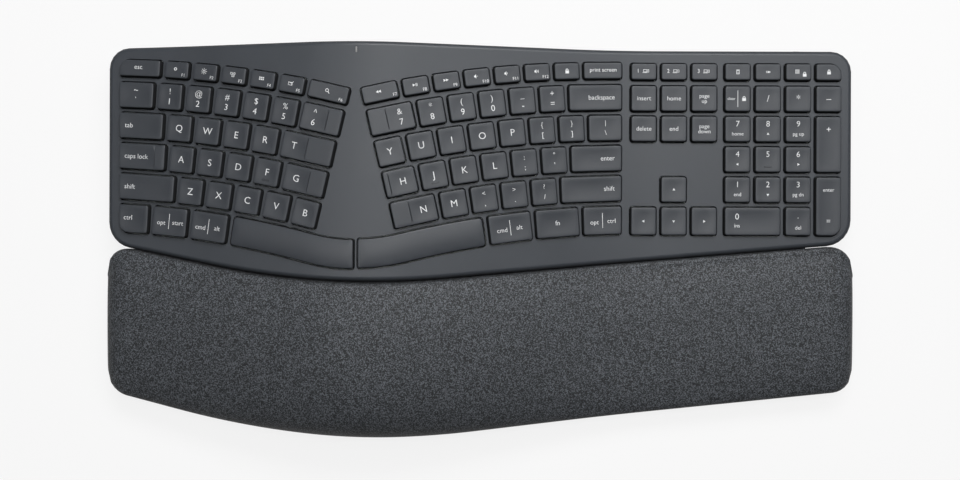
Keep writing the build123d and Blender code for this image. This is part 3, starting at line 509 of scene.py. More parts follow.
def arch_x(s):
    """X of the case top at a distance s along the arch from its peak."""
    side = 1 if s >= 0 else -1
    run = abs(s)
    if run <= hump_half:
        return peak_x + side * hump_radius * sin(run / hump_radius)
    straight = right_flank if side > 0 else left_flank
    sweep = valley_radius if side > 0 else left_sweep_radius
    along = min(run - hump_half, straight)
    x = hump_radius * sin(flank) + along * cos(flank)
    turn = min(max(run - hump_half - straight, 0) / sweep, flank)
    x += sweep * (sin(flank) - sin(flank - turn))
    return peak_x + side * (x + max(run - hump_half - straight - sweep * turn, 0))


def bar_path(side):
    """Outline of a space bar in plan, as a path of points and outward normals: left (-1) or right (1)."""
    row_s, start, rise = bar_rows[side]
    middle_radius = row_radius + bottom_y - home_y
    outer_turn = start / middle_radius
    bend_turn = asin((side * bar_bend - row_s) / middle_radius)
    end_x = peak_x + side * bar_middle_gap

    def row_point(turn, radius):
        return Vector((arch_x(row_s + radius * sin(turn)), home_y + rise - row_radius + radius * cos(turn)))

    lines = []
    for half in (bar_length / 2, -bar_length / 2):
        radius = middle_radius + half
        line = [row_point(outer_turn + (bend_turn - outer_turn) * k / 16, radius) for k in range(17)]
        bend = line[-1]
        angle = abs(bend_turn)
        chord = Vector((end_x, bend.y - abs(end_x - bend.x) * tan(angle / 2))) - bend
        arc_radius = chord.length / 2 / sin(angle / 2)
        tangent = Vector((-side * cos(angle), -sin(angle)))
        inward = Vector((tangent.y, -tangent.x)) * side
        for k in range(1, 11):
            a = angle * k / 10
            line.append(bend + tangent * arc_radius * sin(a) + inward * arc_radius * (1 - cos(a)))
        lines.append(line)
    rear, front = lines
    ring = front + rear[::-1]
    area = sum(a.x * b.y - a.y * b.x for a, b in zip(ring, ring[1:] + ring[:1]))
    if area < 0:
        ring.reverse()
    return soften(ring, side, end_x)


def soften(ring, side, end_x):
    """Rounds the four sharp corners of a dense ring and gives each point its outward normal."""
    count = len(ring)
    path = []
    for i, point in enumerate(ring):
        before = (point - ring[i - 1]).normalized()
        after = (ring[(i + 1) % count] - point).normalized()
        turn = before.angle(after)
        if turn < sharp_turn:
            along = (before + after).normalized()
            path.append((point, Vector((along.y, -along.x))))
            continue
        radius = bar_corners[1] if abs(point.x - end_x) < end_margin else bar_corners[0]
        reach = radius * tan(turn / 2)
        start = point - before * reach
        centre = start + Vector((-before.y, before.x)) * radius
        first = Vector((before.y, -before.x))
        for k in range(7):
            angle = turn * k / 6
            normal = turned(first, angle)
            path.append((centre + normal * radius, normal))
    return path


body_corners = [(-body_width / 2, rear_y)]
for x in (-body_width / 2, seam_vee[0], body_width / 2):
    slope = seam_slopes[0] if x < seam_vee[0] else seam_slopes[1]
    body_corners.append((x, seam_vee[1] + slope * abs(x - seam_vee[0])))
body_corners.append((body_width / 2, rear_y))
body_radii = (rear_corner, front_corner, seam_radius, front_corner, rear_corner)
body_path = rounded_path(body_corners, body_radii, outline_step)

edge_steps = ((opening_gap + opening_edge, 0.0), (opening_gap + 0.3 * opening_edge, 0.3 * opening_edge),
              (opening_gap, opening_edge), (opening_gap, case_wall))
light_y = 111.3
light_size = (1.0, 3.4)
light_gap = 0.12
light_corner = 0.4
light_corners = box(peak_x, light_y, *light_size)
light_plan = rounded_path(light_corners[-1:] + light_corners[:-1], (light_corner,) * 4, light_corner)

openings = []
for places in key_table.values():
    for place in places:
        openings.append([[place.at(p.x, p.y, -depth) for p, _ in place.path(grow)] for grow, depth in edge_steps])
for side in bar_rows:
    path = bar_path(side)
    rings = []
    for grow, depth in edge_steps:
        grown = [p + n * grow for p, n in path]
        rings.append([Vector((p.x, p.y, arch_z(p.x) - depth)) for p in grown])
    openings.append(rings)
rings = []
for depth in (0.0, 0.1, 0.2, case_wall):
    rings.append([Vector((*(p + n * light_gap), arch_z(p.x) - depth)) for p, n in light_plan])
openings.append(rings)

outer = inset_ring(body_path, rim_radius)
holes = [[(p.x, p.y) for p in rings[0]] for rings in openings]
hole_boxes = [ring_box(ring) for ring in holes]
spread = []
grid = 6.0
grid_depth = 150.0
hole_margin = 1.5
field = inset_ring(body_path, rim_radius + 2)
for i in range(int(body_width / grid)):
    for j in range(int(grid_depth / grid)):
        x, y = -body_width / 2 + (i + 0.5) * grid, rear_y - (j + 0.5) * grid
        near = any(l - hole_margin < x < r + hole_margin and b - hole_margin < y < t + hole_margin
                   for l, r, b, t in hole_boxes)
        if not near and inside((x, y), field):
            spread.append((x, y))
points, triangles = fill_plan(outer, holes, spread)

shell = bmesh.new()
top_vertices, under_vertices = [], []
lower_rings = [[(p.x, p.y, arch_z(p.x) - case_wall) for p in outer]]
upper_rings = [[(p.x, p.y, arch_z(p.x)) for p in outer]]
for rings in openings:
    upper_rings.append([(p.x, p.y, arch_z(p.x)) for p in rings[0]])
    lower_rings.append([tuple(p) for p in rings[3]])
for ring in upper_rings:
    top_vertices += [shell.verts.new(p) for p in ring]
for ring in lower_rings:
    under_vertices += [shell.verts.new(p) for p in ring]
for x, y in spread:
    top_vertices.append(shell.verts.new((x, y, arch_z(x))))
    under_vertices.append(shell.verts.new((x, y, arch_z(x) - case_wall)))
for a, b, c in triangles:
    shell.faces.new((top_vertices[a], top_vertices[b], top_vertices[c]))
    shell.faces.new((under_vertices[c], under_vertices[b], under_vertices[a]))
start = len(outer)
for rings in openings:
    count = len(rings[0])
    upper = top_vertices[start:start + count]
    middle = [[shell.verts.new(p) for p in ring] for ring in rings[1:3]]
    lower = under_vertices[start:start + count]
    for high, low in zip([upper] + middle, middle + [lower]):
        bridge(shell, high, low)
    start += count

rim_steps = 8
lip_height = 0.5
lip_step = 0.4
rim = [top_vertices[:len(outer)]]
for k in range(1, rim_steps + 1):
    angle = pi / 2 * (1 - k / rim_steps)
    ring = inset_ring(body_path, rim_radius * (1 - cos(angle)))
    rim.append([shell.verts.new((p.x, p.y, arch_z(p.x) - rim_radius * (1 - sin(angle)))) for p in ring])
rim.append([shell.verts.new((p.x, p.y, parting_z + lip_height)) for p, _ in body_path])
for inset in (lip_step, case_wall):
    rim.append([shell.verts.new((p.x, p.y, parting_z)) for p in inset_ring(body_path, inset)])
rim.append([shell.verts.new((p.x, p.y, arch_z(p.x) - case_wall)) for p in inset_ring(body_path, case_wall)])
rim.append(under_vertices[:len(outer)])
for high, low in zip(rim, rim[1:]):
    bridge(shell, low, high)

slot_place = (195.0, 10.8)
slot_size = (7.6, 3.2)
slot_corner = 1.2
slot_step = 0.4


def cut_slot(mesh, place, size, corner):
    """Cuts a rounded slot through the rear wall of the shell; returns the new mesh."""
    plan = rounded_path(box(0, 0, *size), (corner,) * 4, slot_step)
    tool = bmesh.new()
    ends = []
    for y in (rear_y + 2, rear_y - 6):
        ends.append([tool.verts.new((place[0] + p.x, y, place[1] + p.y)) for p, _ in plan])
    bridge(tool, ends[0], ends[1])
    tool.faces.new(ends[0][::-1])
    tool.faces.new(ends[1])
    bmesh.ops.recalc_face_normals(tool, faces=tool.faces)
    pair = []
    for name, part in (("wall", mesh), ("tool", tool)):
        data = bpy.data.meshes.new(name)
        part.to_mesh(data)
        part.free()
        pair.append(bpy.data.objects.new(name, data))
        scene.collection.objects.link(pair[-1])
    cut = pair[0].modifiers.new("slot", "BOOLEAN")
    cut.object = pair[1]
    cut.solver = "EXACT"
    result = bpy.data.meshes.new_from_object(pair[0].evaluated_get(bpy.context.evaluated_depsgraph_get()))
    for part in pair:
        bpy.data.objects.remove(part)
    done = bmesh.new()
    done.from_mesh(result)
    bpy.data.meshes.remove(result)
    return done


shell = cut_slot(shell, slot_place, slot_size, slot_corner)
case_top = finish_piece("case_top_shell", shell, "base", "case_plastic", case_plastic)
top_normals = []
slope_step = 0.05
top_tolerance = 0.005
for loop in case_top.data.loops:
    spot = case_top.data.vertices[loop.vertex_index].co / MM
    slope = (arch_z(spot.x + slope_step) - arch_z(spot.x - slope_step)) / (2 * slope_step)
    on_top = abs(spot.z - arch_z(spot.x)) < top_tolerance
    top_normals.append(Vector((-slope, 0, 1)).normalized() if on_top else Vector())
case_top.data.normals_split_custom_set(top_normals)
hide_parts("top_case")


# Keycaps
# Hollow moulded caps, each with a tapered skirt, rolled edges and a top that is dished both ways. The inner keys
# of each hand carry a flat wing beyond a fine groove, and three keys have a raised bar to feel.

key_roll = 0.75
key_wall = 1.3
key_roof = 1.6
key_top_step = 2.4
key_dish = 0.5
low_dish = 0.25
taper = tan(radians(4))
top_inset = taper * (key_rise + key_skirt - key_roll) + key_roll
key_colour = (0.049, 0.0547, 0.0645, 1)
# Painted shade darkens the steep skirts and rolled edges of the caps strongly.
key_plastic = moulded("keycap_plastic", key_colour, (0.3, 0.42), size=0.2, shift=0.06, bump=0.1, side=(0.15, 0.85))
plain_width = 15.9
wings = {"number_keys_left": (6, 1, plain_width), "upper_letters_left": (4, 1, plain_width),
         "home_letters_left": (4, 1, plain_width), "caps_lock_key": (0, 1, 23.8),
         "number_keys_right": (0, -1, plain_width), "home_letters_right": (0, -1, plain_width),
         "lower_letters_right": (0, -1, plain_width)}
homing = {"home_letters_left": 3, "home_letters_right": 1, "numpad_digit_keys": 4}
bar_size = (4.4, 0.8, 0.4)
bar_forward = 4.4
bar_round = 0.3
top_margin = 0.3
groove_width = 0.6
groove_depth = 0.35
low_nodes = ("escape_key", "function_keys_left", "function_keys_right", "system_keys", "device_keys",
             "utility_keys")


def dish_of(place, wing, plain, dish):
    """Function that gives the depth of the dish at u, v, and the places of the groove across the cap."""
    left, right = place.middle.x - place.size[0] / 2, place.middle.x + place.size[0] / 2
    grooves = []
    if wing > 0:
        grooves = [left + plain]
        right = grooves[0] + top_inset
    if wing < 0:
        grooves = [right - plain]
        left = grooves[0] - top_inset
    middle = Vector(((left + right) / 2, place.middle.y))
    reach = ((right - left) / 2 - top_inset, place.size[1] / 2 - top_inset)
    powers = [max(2.0, r / 4) for r in reach]

    def depth(u, v):
        across, along = abs(u - middle.x) / reach[0], abs(v - middle.y) / reach[1]
        dip = 0.0
        if across < 1 and along < 1:
            dip = dish * (1 - across ** powers[0]) * (1 - along ** powers[1])
        for line in grooves:
            gap = abs(u - line) / (groove_width / 2)
            if gap < 1:
                dip = max(dip, groove_depth * (1 - gap))
        return dip

    return depth, grooves


def add_cap(mesh, path, at, depth, grooves, top_step, planar=True):
    """One closed hollow cap over an outline."""
    rings = [(key_wall, -key_skirt), (0.0, -key_skirt)]
    top_side = key_rise - key_roll
    drawn_in = taper * (top_side + key_skirt)
    rings += [(drawn_in, top_side)]
    for k in range(1, 6):
        angle = pi / 2 * k / 5
        rings.append((drawn_in + key_roll * (1 - cos(angle)), top_side + key_roll * sin(angle)))
    made = []
    for inset, height in rings:
        drop = depth if height > 0 else lambda u, v: 0.0
        made.append([mesh.verts.new(at(p.x, p.y, height - drop(p.x, p.y))) for p in inset_ring(path, inset)])
    for low, high in zip(made, made[1:]):
        bridge(mesh, low, high)
    edge = [tuple(p) for p in inset_ring(path, rings[-1][0])]
    left, right, low, high = ring_box(edge)
    extra = []
    count = int((right - left) / top_step) + 1
    columns = [left + (right - left) * (i + 1) / (count + 1) for i in range(count)]
    for line in grooves:
        columns = [u for u in columns if abs(u - line) > groove_width]
        columns += [line - groove_width / 2, line, line + groove_width / 2]
    rows = int((high - low) / top_step) + 1
    clear = [tuple(p) for p in inset_ring(path, rings[-1][0] + top_margin)]
    for u in columns:
        for j in range(rows):
            v = low + (high - low) * (j + 1) / (rows + 1)
            if inside((u, v), clear):
                extra.append((u, v))
    found, triangles = fill_plan(edge, [], extra)
    vertices = made[-1] + [mesh.verts.new(at(u, v, key_rise - depth(u, v))) for u, v in extra]
    for a, b, c in triangles:
        mesh.faces.new((vertices[a], vertices[b], vertices[c]))
    roof = [mesh.verts.new(at(p.x, p.y, key_rise - key_roof)) for p in inset_ring(path, key_wall)]
    bridge(mesh, roof, made[0])
    if planar:
        mesh.faces.new(roof[::-1])
    else:
        ceiling = roof + [mesh.verts.new(at(u, v, key_rise - key_roof)) for u, v in extra]
        for a, b, c in triangles:
            mesh.faces.new((ceiling[c], ceiling[b], ceiling[a]))


def add_homing_bar(mesh, place, depth):
    """A raised bar near the front of a key."""
    width, length, height = bar_size
    path = rounded_path(box(place.middle.x, place.middle.y - bar_forward, width, length), (bar_round,) * 4, 0.2)
    made = []
    for inset, rise in ((0.0, -bar_round), (0.0, height * 0.5), (0.12, height)):
        ring = inset_ring(path, inset)
        made.append([mesh.verts.new(place.at(p.x, p.y, key_rise - depth(p.x, p.y) + rise)) for p in ring])
    for low, high in zip(made, made[1:]):
        bridge(mesh, low, high)
    mesh.faces.new(made[-1])
    mesh.faces.new(made[0][::-1])


key_tops = {}
for name, places in key_table.items():
    caps = bmesh.new()
    key_tops[name] = []
    for i, place in enumerate(places):
        winged = name in wings and wings[name][0] == i
        wing, plain = wings[name][1:] if winged else (0, place.size[0])
        depth, grooves = dish_of(place, wing, plain, low_dish if name in low_nodes else key_dish)
        add_cap(caps, place.path(), place.at, depth, grooves, key_top_step)
        if homing.get(name) == i:
            add_homing_bar(caps, place, depth)
        key_tops[name].append((place, depth, wing, plain))
    piece = finish_piece(f"{name}_caps", caps, name, "keycap_plastic", key_plastic)
    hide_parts(name)


# Space bars
# Two long caps that follow the hump, moulded like the keys, with a top that falls away towards its front and
# rear edges.

bar_crown = 0.6
bar_top_step = 3.0


def crown_of(path):
    """Function that gives how far the crowned top of a bar lies below its middle line at u, v."""
    ring = inset_ring(path, top_inset)
    ends = min(p.x for p in ring) + bar_corners[0], max(p.x for p in ring) - bar_corners[0]

    def depth(u, v):
        u = min(max(u, ends[0]), ends[1])
        cuts = [a.y + (b.y - a.y) * (u - a.x) / (b.x - a.x) for a, b in zip(ring, ring[1:] + ring[:1])
                if (a.x > u) != (b.x > u)]
        share = (2 * v - min(cuts) - max(cuts)) / (max(cuts) - min(cuts))
        return bar_crown * share * share

    return depth


for node_name, side in (("left_space_bar", -1), ("right_space_bar", 1)):
    bar = bmesh.new()
    path = bar_path(side)
    add_cap(bar, path, lambda u, v, h: Vector((u, v, arch_z(u) + h)), crown_of(path), [], bar_top_step,
            planar=False)
    piece = finish_piece(f"{node_name}_cap", bar, node_name, "keycap_plastic", key_plastic)
    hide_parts(node_name)


# Legends
# Printed in white ink on the finished caps: letters, digits and signs, the names of the plain keys, and small
# pictures on the function row.

ink = moulded("legend_ink", (0.86, 0.87, 0.88, 1), (0.5, 0.6), size=0.15, shift=0.04, bump=0.02)
ink_height = 0.035
ink_sink = 0.03
cap_share = 0.729
letter_height = 4.2
sign_height = 3.8
word_height = 2.95
small_height = 1.9
rule_width = 0.32
ink_thinning = 0.004
ink_weld = 0.0002


def ink_shape(curve, place, depth, u, v):
    """Turns a flat curve in millimetres into ink on a key's top, as a list of points and faces."""
    curve.extrude = (ink_height + ink_sink) / 2
    shape = bpy.data.objects.new("ink", curve)
    scene.collection.objects.link(shape)
    mesh = bpy.data.meshes.new_from_object(shape)
    bpy.data.objects.remove(shape)
    bpy.data.curves.remove(curve)
    lift = key_rise + (ink_height - ink_sink) / 2
    points = []
    for x, y, z in (vertex.co for vertex in mesh.vertices):
        points.append(place.at(u + x, v + y, lift - depth(u + x, v + y) + z))
    faces = [tuple(face.vertices) for face in mesh.polygons]
    bpy.data.meshes.remove(mesh)
    return points, faces


def text_curve(words, height, align="CENTER"):
    """Flat text whose capitals have a height."""
    curve = bpy.data.curves.new("words", "FONT")
    curve.body = words
    curve.size = height / cap_share
    curve.align_x = align
    curve.align_y = "CENTER"
    curve.resolution_u = 3
    curve.space_line = 0.92
    curve.offset = -ink_thinning * height
    return curve


def shape_curve(loops):
    """Flat filled curve from closed loops of points; a loop inside another cuts a hole."""
    curve = bpy.data.curves.new("shape", "CURVE")
    curve.dimensions = "2D"
    curve.fill_mode = "BOTH"
    for loop in loops:
        spline = curve.splines.new("POLY")
        spline.points.add(len(loop) - 1)
        for point, (x, y) in zip(spline.points, loop):
            point.co = (x, y, 0, 1)
        spline.use_cyclic_u = True
    return curve


def disc(x, y, r, sides=20):
    """Loop of a circle."""
    return [(x + r * cos(2 * pi * k / sides), y + r * sin(2 * pi * k / sides)) for k in range(sides)]


def stroke(x0, y0, x1, y1, w):
    """Loop of a straight stroke."""
    dx, dy = Vector((x1 - x0, y1 - y0)).normalized() * w / 2
    return [(x0 + dy, y0 - dx), (x1 + dy, y1 - dx), (x1 - dy, y1 + dx), (x0 - dy, y0 + dx)]


def frame_box(x, y, w, h, t):
    """Loops of a rectangular outline."""
    return [box(x, y, w, h), box(x, y, w - 2 * t, h - 2 * t)]


def rays(r0, r1, w, count=8):
    """Loops of strokes round a circle."""
    turns = [2 * pi * k / count for k in range(count)]
    return [stroke(r0 * cos(a), r0 * sin(a), r1 * cos(a), r1 * sin(a), w) for a in turns]


def arrow(x, y, r, turn):
    """Loop of a solid triangle that points along turn, in quarter turns from +X."""
    return [(x + r * cos(pi / 2 * turn + a), y + r * sin(pi / 2 * turn + a)) for a in (0, 2 * pi / 3, 4 * pi / 3)]


shackle = [(-0.8, 0.35), (-0.8, 1.0), (-0.4, 1.5), (0.4, 1.5), (0.8, 1.0), (0.8, 0.35),
           (0.4, 0.35), (0.4, 0.9), (0.2, 1.1), (-0.2, 1.1), (-0.4, 0.9), (-0.4, 0.35)]
speaker = [[(-1.3, -0.5), (-0.8, -0.5), (0.0, -1.3), (0.0, 1.3), (-0.8, 0.5), (-1.3, 0.5)]]
device = frame_box(-0.4, 0.2, 2.2, 1.6, 0.25) + [box(-0.5, -0.95, 2.9, 0.3)] + frame_box(1.5, 0.1, 1.0, 1.7, 0.22)
pictures = {
    "dim": [disc(0, 0, 0.95), disc(0, 0, 0.5)],
    "bright": [disc(0, 0, 0.85), disc(0, 0, 0.5)] + rays(1.15, 1.9, 0.28),
    "views": (frame_box(-0.8, 0.5, 1.5, 1.2, 0.28) + [disc(1.0, 0.6, 0.7), disc(1.0, 0.6, 0.38)]
              + frame_box(0.3, -0.9, 1.7, 1.2, 0.28)),
    "apps": [box(dx, dy, 0.8, 0.8) for dx in (-1.1, 0, 1.1) for dy in (-0.55, 0.55)],
    "note": frame_box(-0.2, -0.2, 2.6, 1.9, 0.28) + [stroke(0.3, -0.1, 1.7, 1.3, 0.4)],
    "search": [disc(-0.25, 0.25, 1.05), disc(-0.25, 0.25, 0.7), stroke(0.5, -0.5, 1.4, -1.4, 0.38)],
    "back": [arrow(-0.75, 0, 1.0, 2), arrow(0.75, 0, 1.0, 2)],
    "play": [arrow(-0.8, 0, 1.0, 0), box(0.65, 0, 0.35, 1.7), box(1.3, 0, 0.35, 1.7)],
    "ahead": [arrow(-0.75, 0, 1.0, 0), arrow(0.75, 0, 1.0, 0)],
    "mute": speaker + [box(0.7, 0, 0.75, 0.25)],
    "quiet": speaker + [stroke(0.55, -0.55, 0.55, 0.55, 0.28)],
    "loud": speaker + [stroke(0.55, -0.55, 0.55, 0.55, 0.28), stroke(1.15, -0.9, 1.15, 0.9, 0.28)],
    "lock": [box(0, -0.5, 2.2, 1.7), shackle],
    "device": device,
    "sums": (frame_box(0, 0, 1.9, 2.7, 0.25) + [box(0, 0.75, 1.0, 0.4)]
             + [box(dx, dy, 0.3, 0.3) for dx in (-0.35, 0.35) for dy in (-0.15, -0.75)]),
    "cell": [box(-0.2, 0, 2.0, 1.1), box(1.1, 0, 0.4, 0.5), box(-0.55, 0, 0.8, 0.6)],
    "pad": (frame_box(0, 0, 2.4, 2.4, 0.25)
            + [box(dx, dy, 0.45, 0.35) for dx in (-0.55, 0, 0.55) for dy in (-0.55, 0, 0.55)]),
    "up": [arrow(0, 0, 0.95, 1)],
    "down": [arrow(0, 0, 0.95, 3)],
    "left": [arrow(0, 0, 0.95, 2)],
    "right": [arrow(0, 0, 0.95, 0)],
}


def big(words):
    """One letter in the middle of a key."""
    return word(words, size=letter_height)


def pair(upper, lower, size=None):
    """A sign over another, or over a digit."""
    size = size or sign_height
    return word(upper, 0, 3.1, size=size * 0.95) + word(lower, 0, -2.9, size=size)


def word(words, dx=0.0, dy=0.0, align="CENTER", size=None):
    """The name of a key."""
    return [("text", words, dx, dy, size or word_height, align)]


def picture(name, dx=0.0, dy=0.0):
    """A small picture."""
    return [("picture", name, dx, dy)]


def halves(first, second):
    """Two names with a line between them."""
    size = word_height * 0.95
    line = [("rule", "", -0.2, 0.2, 9.0, "")]
    return word(first, -5.2, -0.9, size=size) + line + word(second, 5.4, -0.3, size=size)


def numbered(name, number, dx=4.7):
    """A picture with the number of the function key at its lower right."""
    return picture(name, -0.6, 0.6) + word(f"F{number}", dx, -2.9, size=small_height)


legends = {
    "escape_key": [word("esc", -0.6, 0.6)],
    "function_keys_left": [numbered("dim", 1), numbered("bright", 2), numbered("views", 3), numbered("apps", 4),
                           numbered("note", 5), numbered("search", 6, 8.2)],
    "number_keys_left": [pair(*signs) for signs in ("~`", "!1", "@2", "#3", "$4", "%5", "^6")],
    "tab_key": [word("tab", 4.6, 0, "LEFT")],
    "upper_letters_left": [big(letter) for letter in "QWERT"],
    "caps_lock_key": [word("caps lock", 4.4, 0, "LEFT")],
    "home_letters_left": [big(letter) for letter in "ASDFG"],
    "left_shift_key": [word("shift", 4.4, 0, "LEFT")],
    "lower_letters_left": [big(letter) for letter in "ZXCVB"],
    "modifier_keys_left": [word("ctrl", 3.9, 0.6, "LEFT"), halves("opt", "start"), halves("cmd", "alt")],
    "system_keys": [picture("lock"), word("print screen", 0, 0.4, size=2.5)],
    "function_keys_right": [numbered("back", 7, 8.2), numbered("play", 8), numbered("ahead", 9),
                            numbered("mute", 10), numbered("quiet", 11), numbered("loud", 12)],
    "backspace_key": [word("backspace", -4.9, 0, "RIGHT")],
    "number_keys_right": [pair(*signs) for signs in ("&7", "*8", "(9", ")0", "_-", "+=")],
    "upper_letters_right": [*map(big, "YUIOP"), pair("{", "[", 3.2), pair("}", "]", 3.2), pair("|", "\\", 3.0)],
    "enter_key": [word("enter", -4.9, 0, "RIGHT")],
    "home_letters_right": [*map(big, "HJKL"), pair(":", ";", 3.2), pair("\"", "'", 3.2)],
    "right_shift_key": [word("shift", -4.9, 0, "RIGHT")],
    "lower_letters_right": [big("N"), big("M"), pair("<", ",", 3.0), pair(">", ".", 3.0), pair("?", "/", 3.0)],
    "modifier_keys_right": [halves("cmd", "alt"), word("fn"), halves("opt", "ctrl")],
    "device_keys": [word(str(k), -3.6, 0.3, size=2.4) + picture("device", 1.0, 0.3) for k in (1, 2, 3)],
    "navigation_keys": [word(name, size=2.5 if "page" in name else 2.75)
                        for name in ("insert", "home", "page\nup", "delete", "end", "page\ndown")],
    "arrow_keys": [picture("up"), picture("left"), picture("down"), picture("right")],
    "utility_keys": [picture("sums"), picture("cell"), picture("pad", -0.8, 0.3) + picture("lock", 3.6, -1.4),
                     picture("lock")],
    "numpad_operators": [word("clear", -3.9, 0, size=1.8) + [("rule", "", 0, 0, 10.0, "")] + picture("lock", 3.8),
                         big("/"), big("*"), big("–")],
    "numpad_digit_keys": [pair(digit, "") for digit in "789456123"],
    "numpad_plus_key": [word("+", 0, 9.0, size=4.0)],
    "numpad_enter_key": [word("enter", 0, 10.0, size=2.3) + word("=", 0, -9.0, size=3.4)],
    "numpad_zero_key": [word("0", -9.4, 2.8, size=sign_height) + word("ins", -9.4, -2.6, size=2.4)],
    "numpad_decimal_key": [word(".", 0, 3.4, size=3.4) + word("del", 0, -3.8, size=2.4)],
}
second_names = ("home", "up", "pg up", "left", "", "right", "end", "down", "pg dn")
for marks, name in zip(legends["numpad_digit_keys"], second_names):
    marks[1] = ("picture", name, 0, -2.9) if name in pictures else ("text", name, 0, -2.9, 2.3, "CENTER")


def add_ink(mesh, place, depth, wing, plain, marks):
    """Every mark of one key, round the middle of its dished part or from its left or right side."""
    left, right = place.middle.x - place.size[0] / 2, place.middle.x + place.size[0] / 2
    middle_u = {1: left + plain / 2, -1: right - plain / 2, 0: place.middle.x}[wing]
    for mark in marks:
        kind, what, dx, dy = mark[:4]
        if kind == "text":
            if not what:
                continue
            curve = text_curve(what, mark[4], mark[5])
        elif kind == "picture":
            curve = shape_curve(pictures[what])
        else:
            curve = shape_curve([box(0, 0, rule_width, mark[4])])
        start_u = {"LEFT": left, "RIGHT": right}.get(mark[-1], middle_u)
        points, faces = ink_shape(curve, place, depth, start_u + dx, place.middle.y + dy)
        made = [mesh.verts.new(p) for p in points]
        for face in faces:
            mesh.faces.new([made[i] for i in face])


for name, tops in key_tops.items():
    prints = bmesh.new()
    for (place, depth, wing, plain), marks in zip(tops, legends[name]):
        add_ink(prints, place, depth, wing, plain, marks)
    bmesh.ops.remove_doubles(prints, verts=prints.verts, dist=ink_weld)
    finish_piece(f"{name}_legends", prints, name, "keycap_plastic", ink, sharp=30.0)


# Status light
# A frosted light pipe, moulded in clear plastic and flush in its slot at the top of the hump. It reaches down to
# the lamp on the circuit board.

light_material = moulded("frosted_pipe", (0.3, 0.3, 0.3, 1), (0.25, 0.35), size=0.2, shift=0.05, bump=0.02)
pipe = bmesh.new()
pipe_length = 20.0
made = []
for inset, drop in ((0.0, pipe_length), (0.0, 0.12), (0.1, 0.03)):
    made.append([pipe.verts.new((p.x, p.y, arch_z(p.x) - drop)) for p in inset_ring(light_plan, inset)])
for low, high in zip(made, made[1:]):
    bridge(pipe, low, high)
pipe.faces.new(made[-1])
pipe.faces.new(made[0][::-1])
light_pipe = finish_piece("light_pipe", pipe, "base", "light_pipe", light_material)
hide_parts("status_light_pipe")


# Palm rest
# A foam pad in a tight cover of melange knit: crowned from front to back, rolled over at its front edge and ends,
# and tucked under at the hem onto the moulded tray.

palm_width = 456.0
seam_gap = 0.4
front_vee = (-95.1, -124.5)
front_slopes = (tan(radians(13.7)), tan(radians(5.9)))
front_radius = 535.0
palm_rear_corner = 17.0
palm_front_corner = 12.0
palm_end_roll = 14.0
palm_crown = 3.0
palm_fall = 2.0
palm_bulge = 2.8
palm_rear_roll = 3.5
palm_tuck = 1.6
palm_belly = 3.0
palm_hem_z = 9.5
palm_hem_rise = 0.4
crown_place = 0.36
crown_growth = 2.2
end_fullness = 0.2
shoulder = 0.72
hem_round = 0.3
end_crowding = 0.25
palm_steps = 150
knit_colour = (0.018, 0.0198, 0.0222, 1)
knit_fleck = (0.14, 0.152, 0.17, 1)
knit_scale = 0.52
yarn_share = 0.62
fleck_limits = (0.45, 0.70)
painted_slope_shade = 0.4


def rounded_vee(x, apex, slopes, radius):
    """Front-to-back place of a vee-shaped edge over x, with its apex rounded."""
    left, right = atan(slopes[0]), atan(slopes[1])
    centre_x = apex[0] + radius * (1 / cos(left) - 1 / cos(right)) / (tan(left) + tan(right))
    centre_y = apex[1] + radius / cos(left) - tan(left) * (centre_x - apex[0])
    if centre_x - radius * sin(left) < x < centre_x + radius * sin(right):
        return centre_y - sqrt(radius**2 - (x - centre_x) ** 2)
    return apex[1] + (slopes[0] if x < apex[0] else slopes[1]) * abs(x - apex[0])


def corner_draw(distance, radius):
    """How far a rounded plan corner draws in, at a distance from the end."""
    return 0 if distance >= radius else radius - sqrt(radius**2 - (radius - distance) ** 2)


def quarter(a, b, steps, bulge=0.2):
    """Points of nearly a quarter turn from a to b, bulging to the left of the way."""
    across, along = b[0] - a[0], b[1] - a[1]
    half = 2 * atan(2 * bulge)
    out = []
    for i in range(steps + 1):
        angle = half * (2 * i / steps - 1)
        share = (1 + sin(angle) / sin(half)) / 2
        push = (cos(angle) - cos(half)) / (2 * sin(half))
        out.append((a[0] + across * share - along * push, a[1] + along * share + across * push))
    return out


def palm_section(x):
    """Closed cross section of the padded rest at x, as (y, z) points."""
    distance = max(palm_width / 2 - abs(x), 0.0)
    roll = min(distance / palm_end_roll, 1)
    fullness = end_fullness + (1 - end_fullness) * sqrt(1 - (1 - roll) ** 2)
    rear = rounded_vee(x, seam_vee, seam_slopes, seam_radius) - seam_gap - corner_draw(distance, palm_rear_corner)
    front = rounded_vee(x, front_vee, front_slopes, front_radius) + corner_draw(distance, palm_front_corner)
    low = palm_hem_z + palm_hem_rise * (arch_z(x) - flat_z)
    widest = low + palm_belly
    rise = fullness * (arch_z(x) - widest)
    rear_top = widest + rise
    crown = (rear - (rear - front) * crown_place, widest + rise + fullness * palm_crown)
    rear_shoulder = (rear - palm_rear_roll, rear_top)
    rear_edge = (rear, widest + rise * shoulder)
    points = []
    for k in range(29):
        share = (k / 28) ** crown_growth
        swell = (1 - (1 - share) ** palm_fall) ** (1 / palm_bulge)
        points.append((front + (crown[0] - front) * share, widest + (crown[1] - widest) * swell))
    for k in range(9, 0, -1):
        share = k / 10
        y = rear_shoulder[0] + (crown[0] - rear_shoulder[0]) * share
        points.append((y, crown[1] - (crown[1] - rear_top) * (1 - share) ** 2))
    points += quarter(rear_shoulder, rear_edge, 6)
    points += [(rear, widest), (rear - hem_round, widest - 1.0), (rear - palm_tuck, low),
               (front + palm_tuck, low), (front + hem_round, widest - 1.0)]
    return points


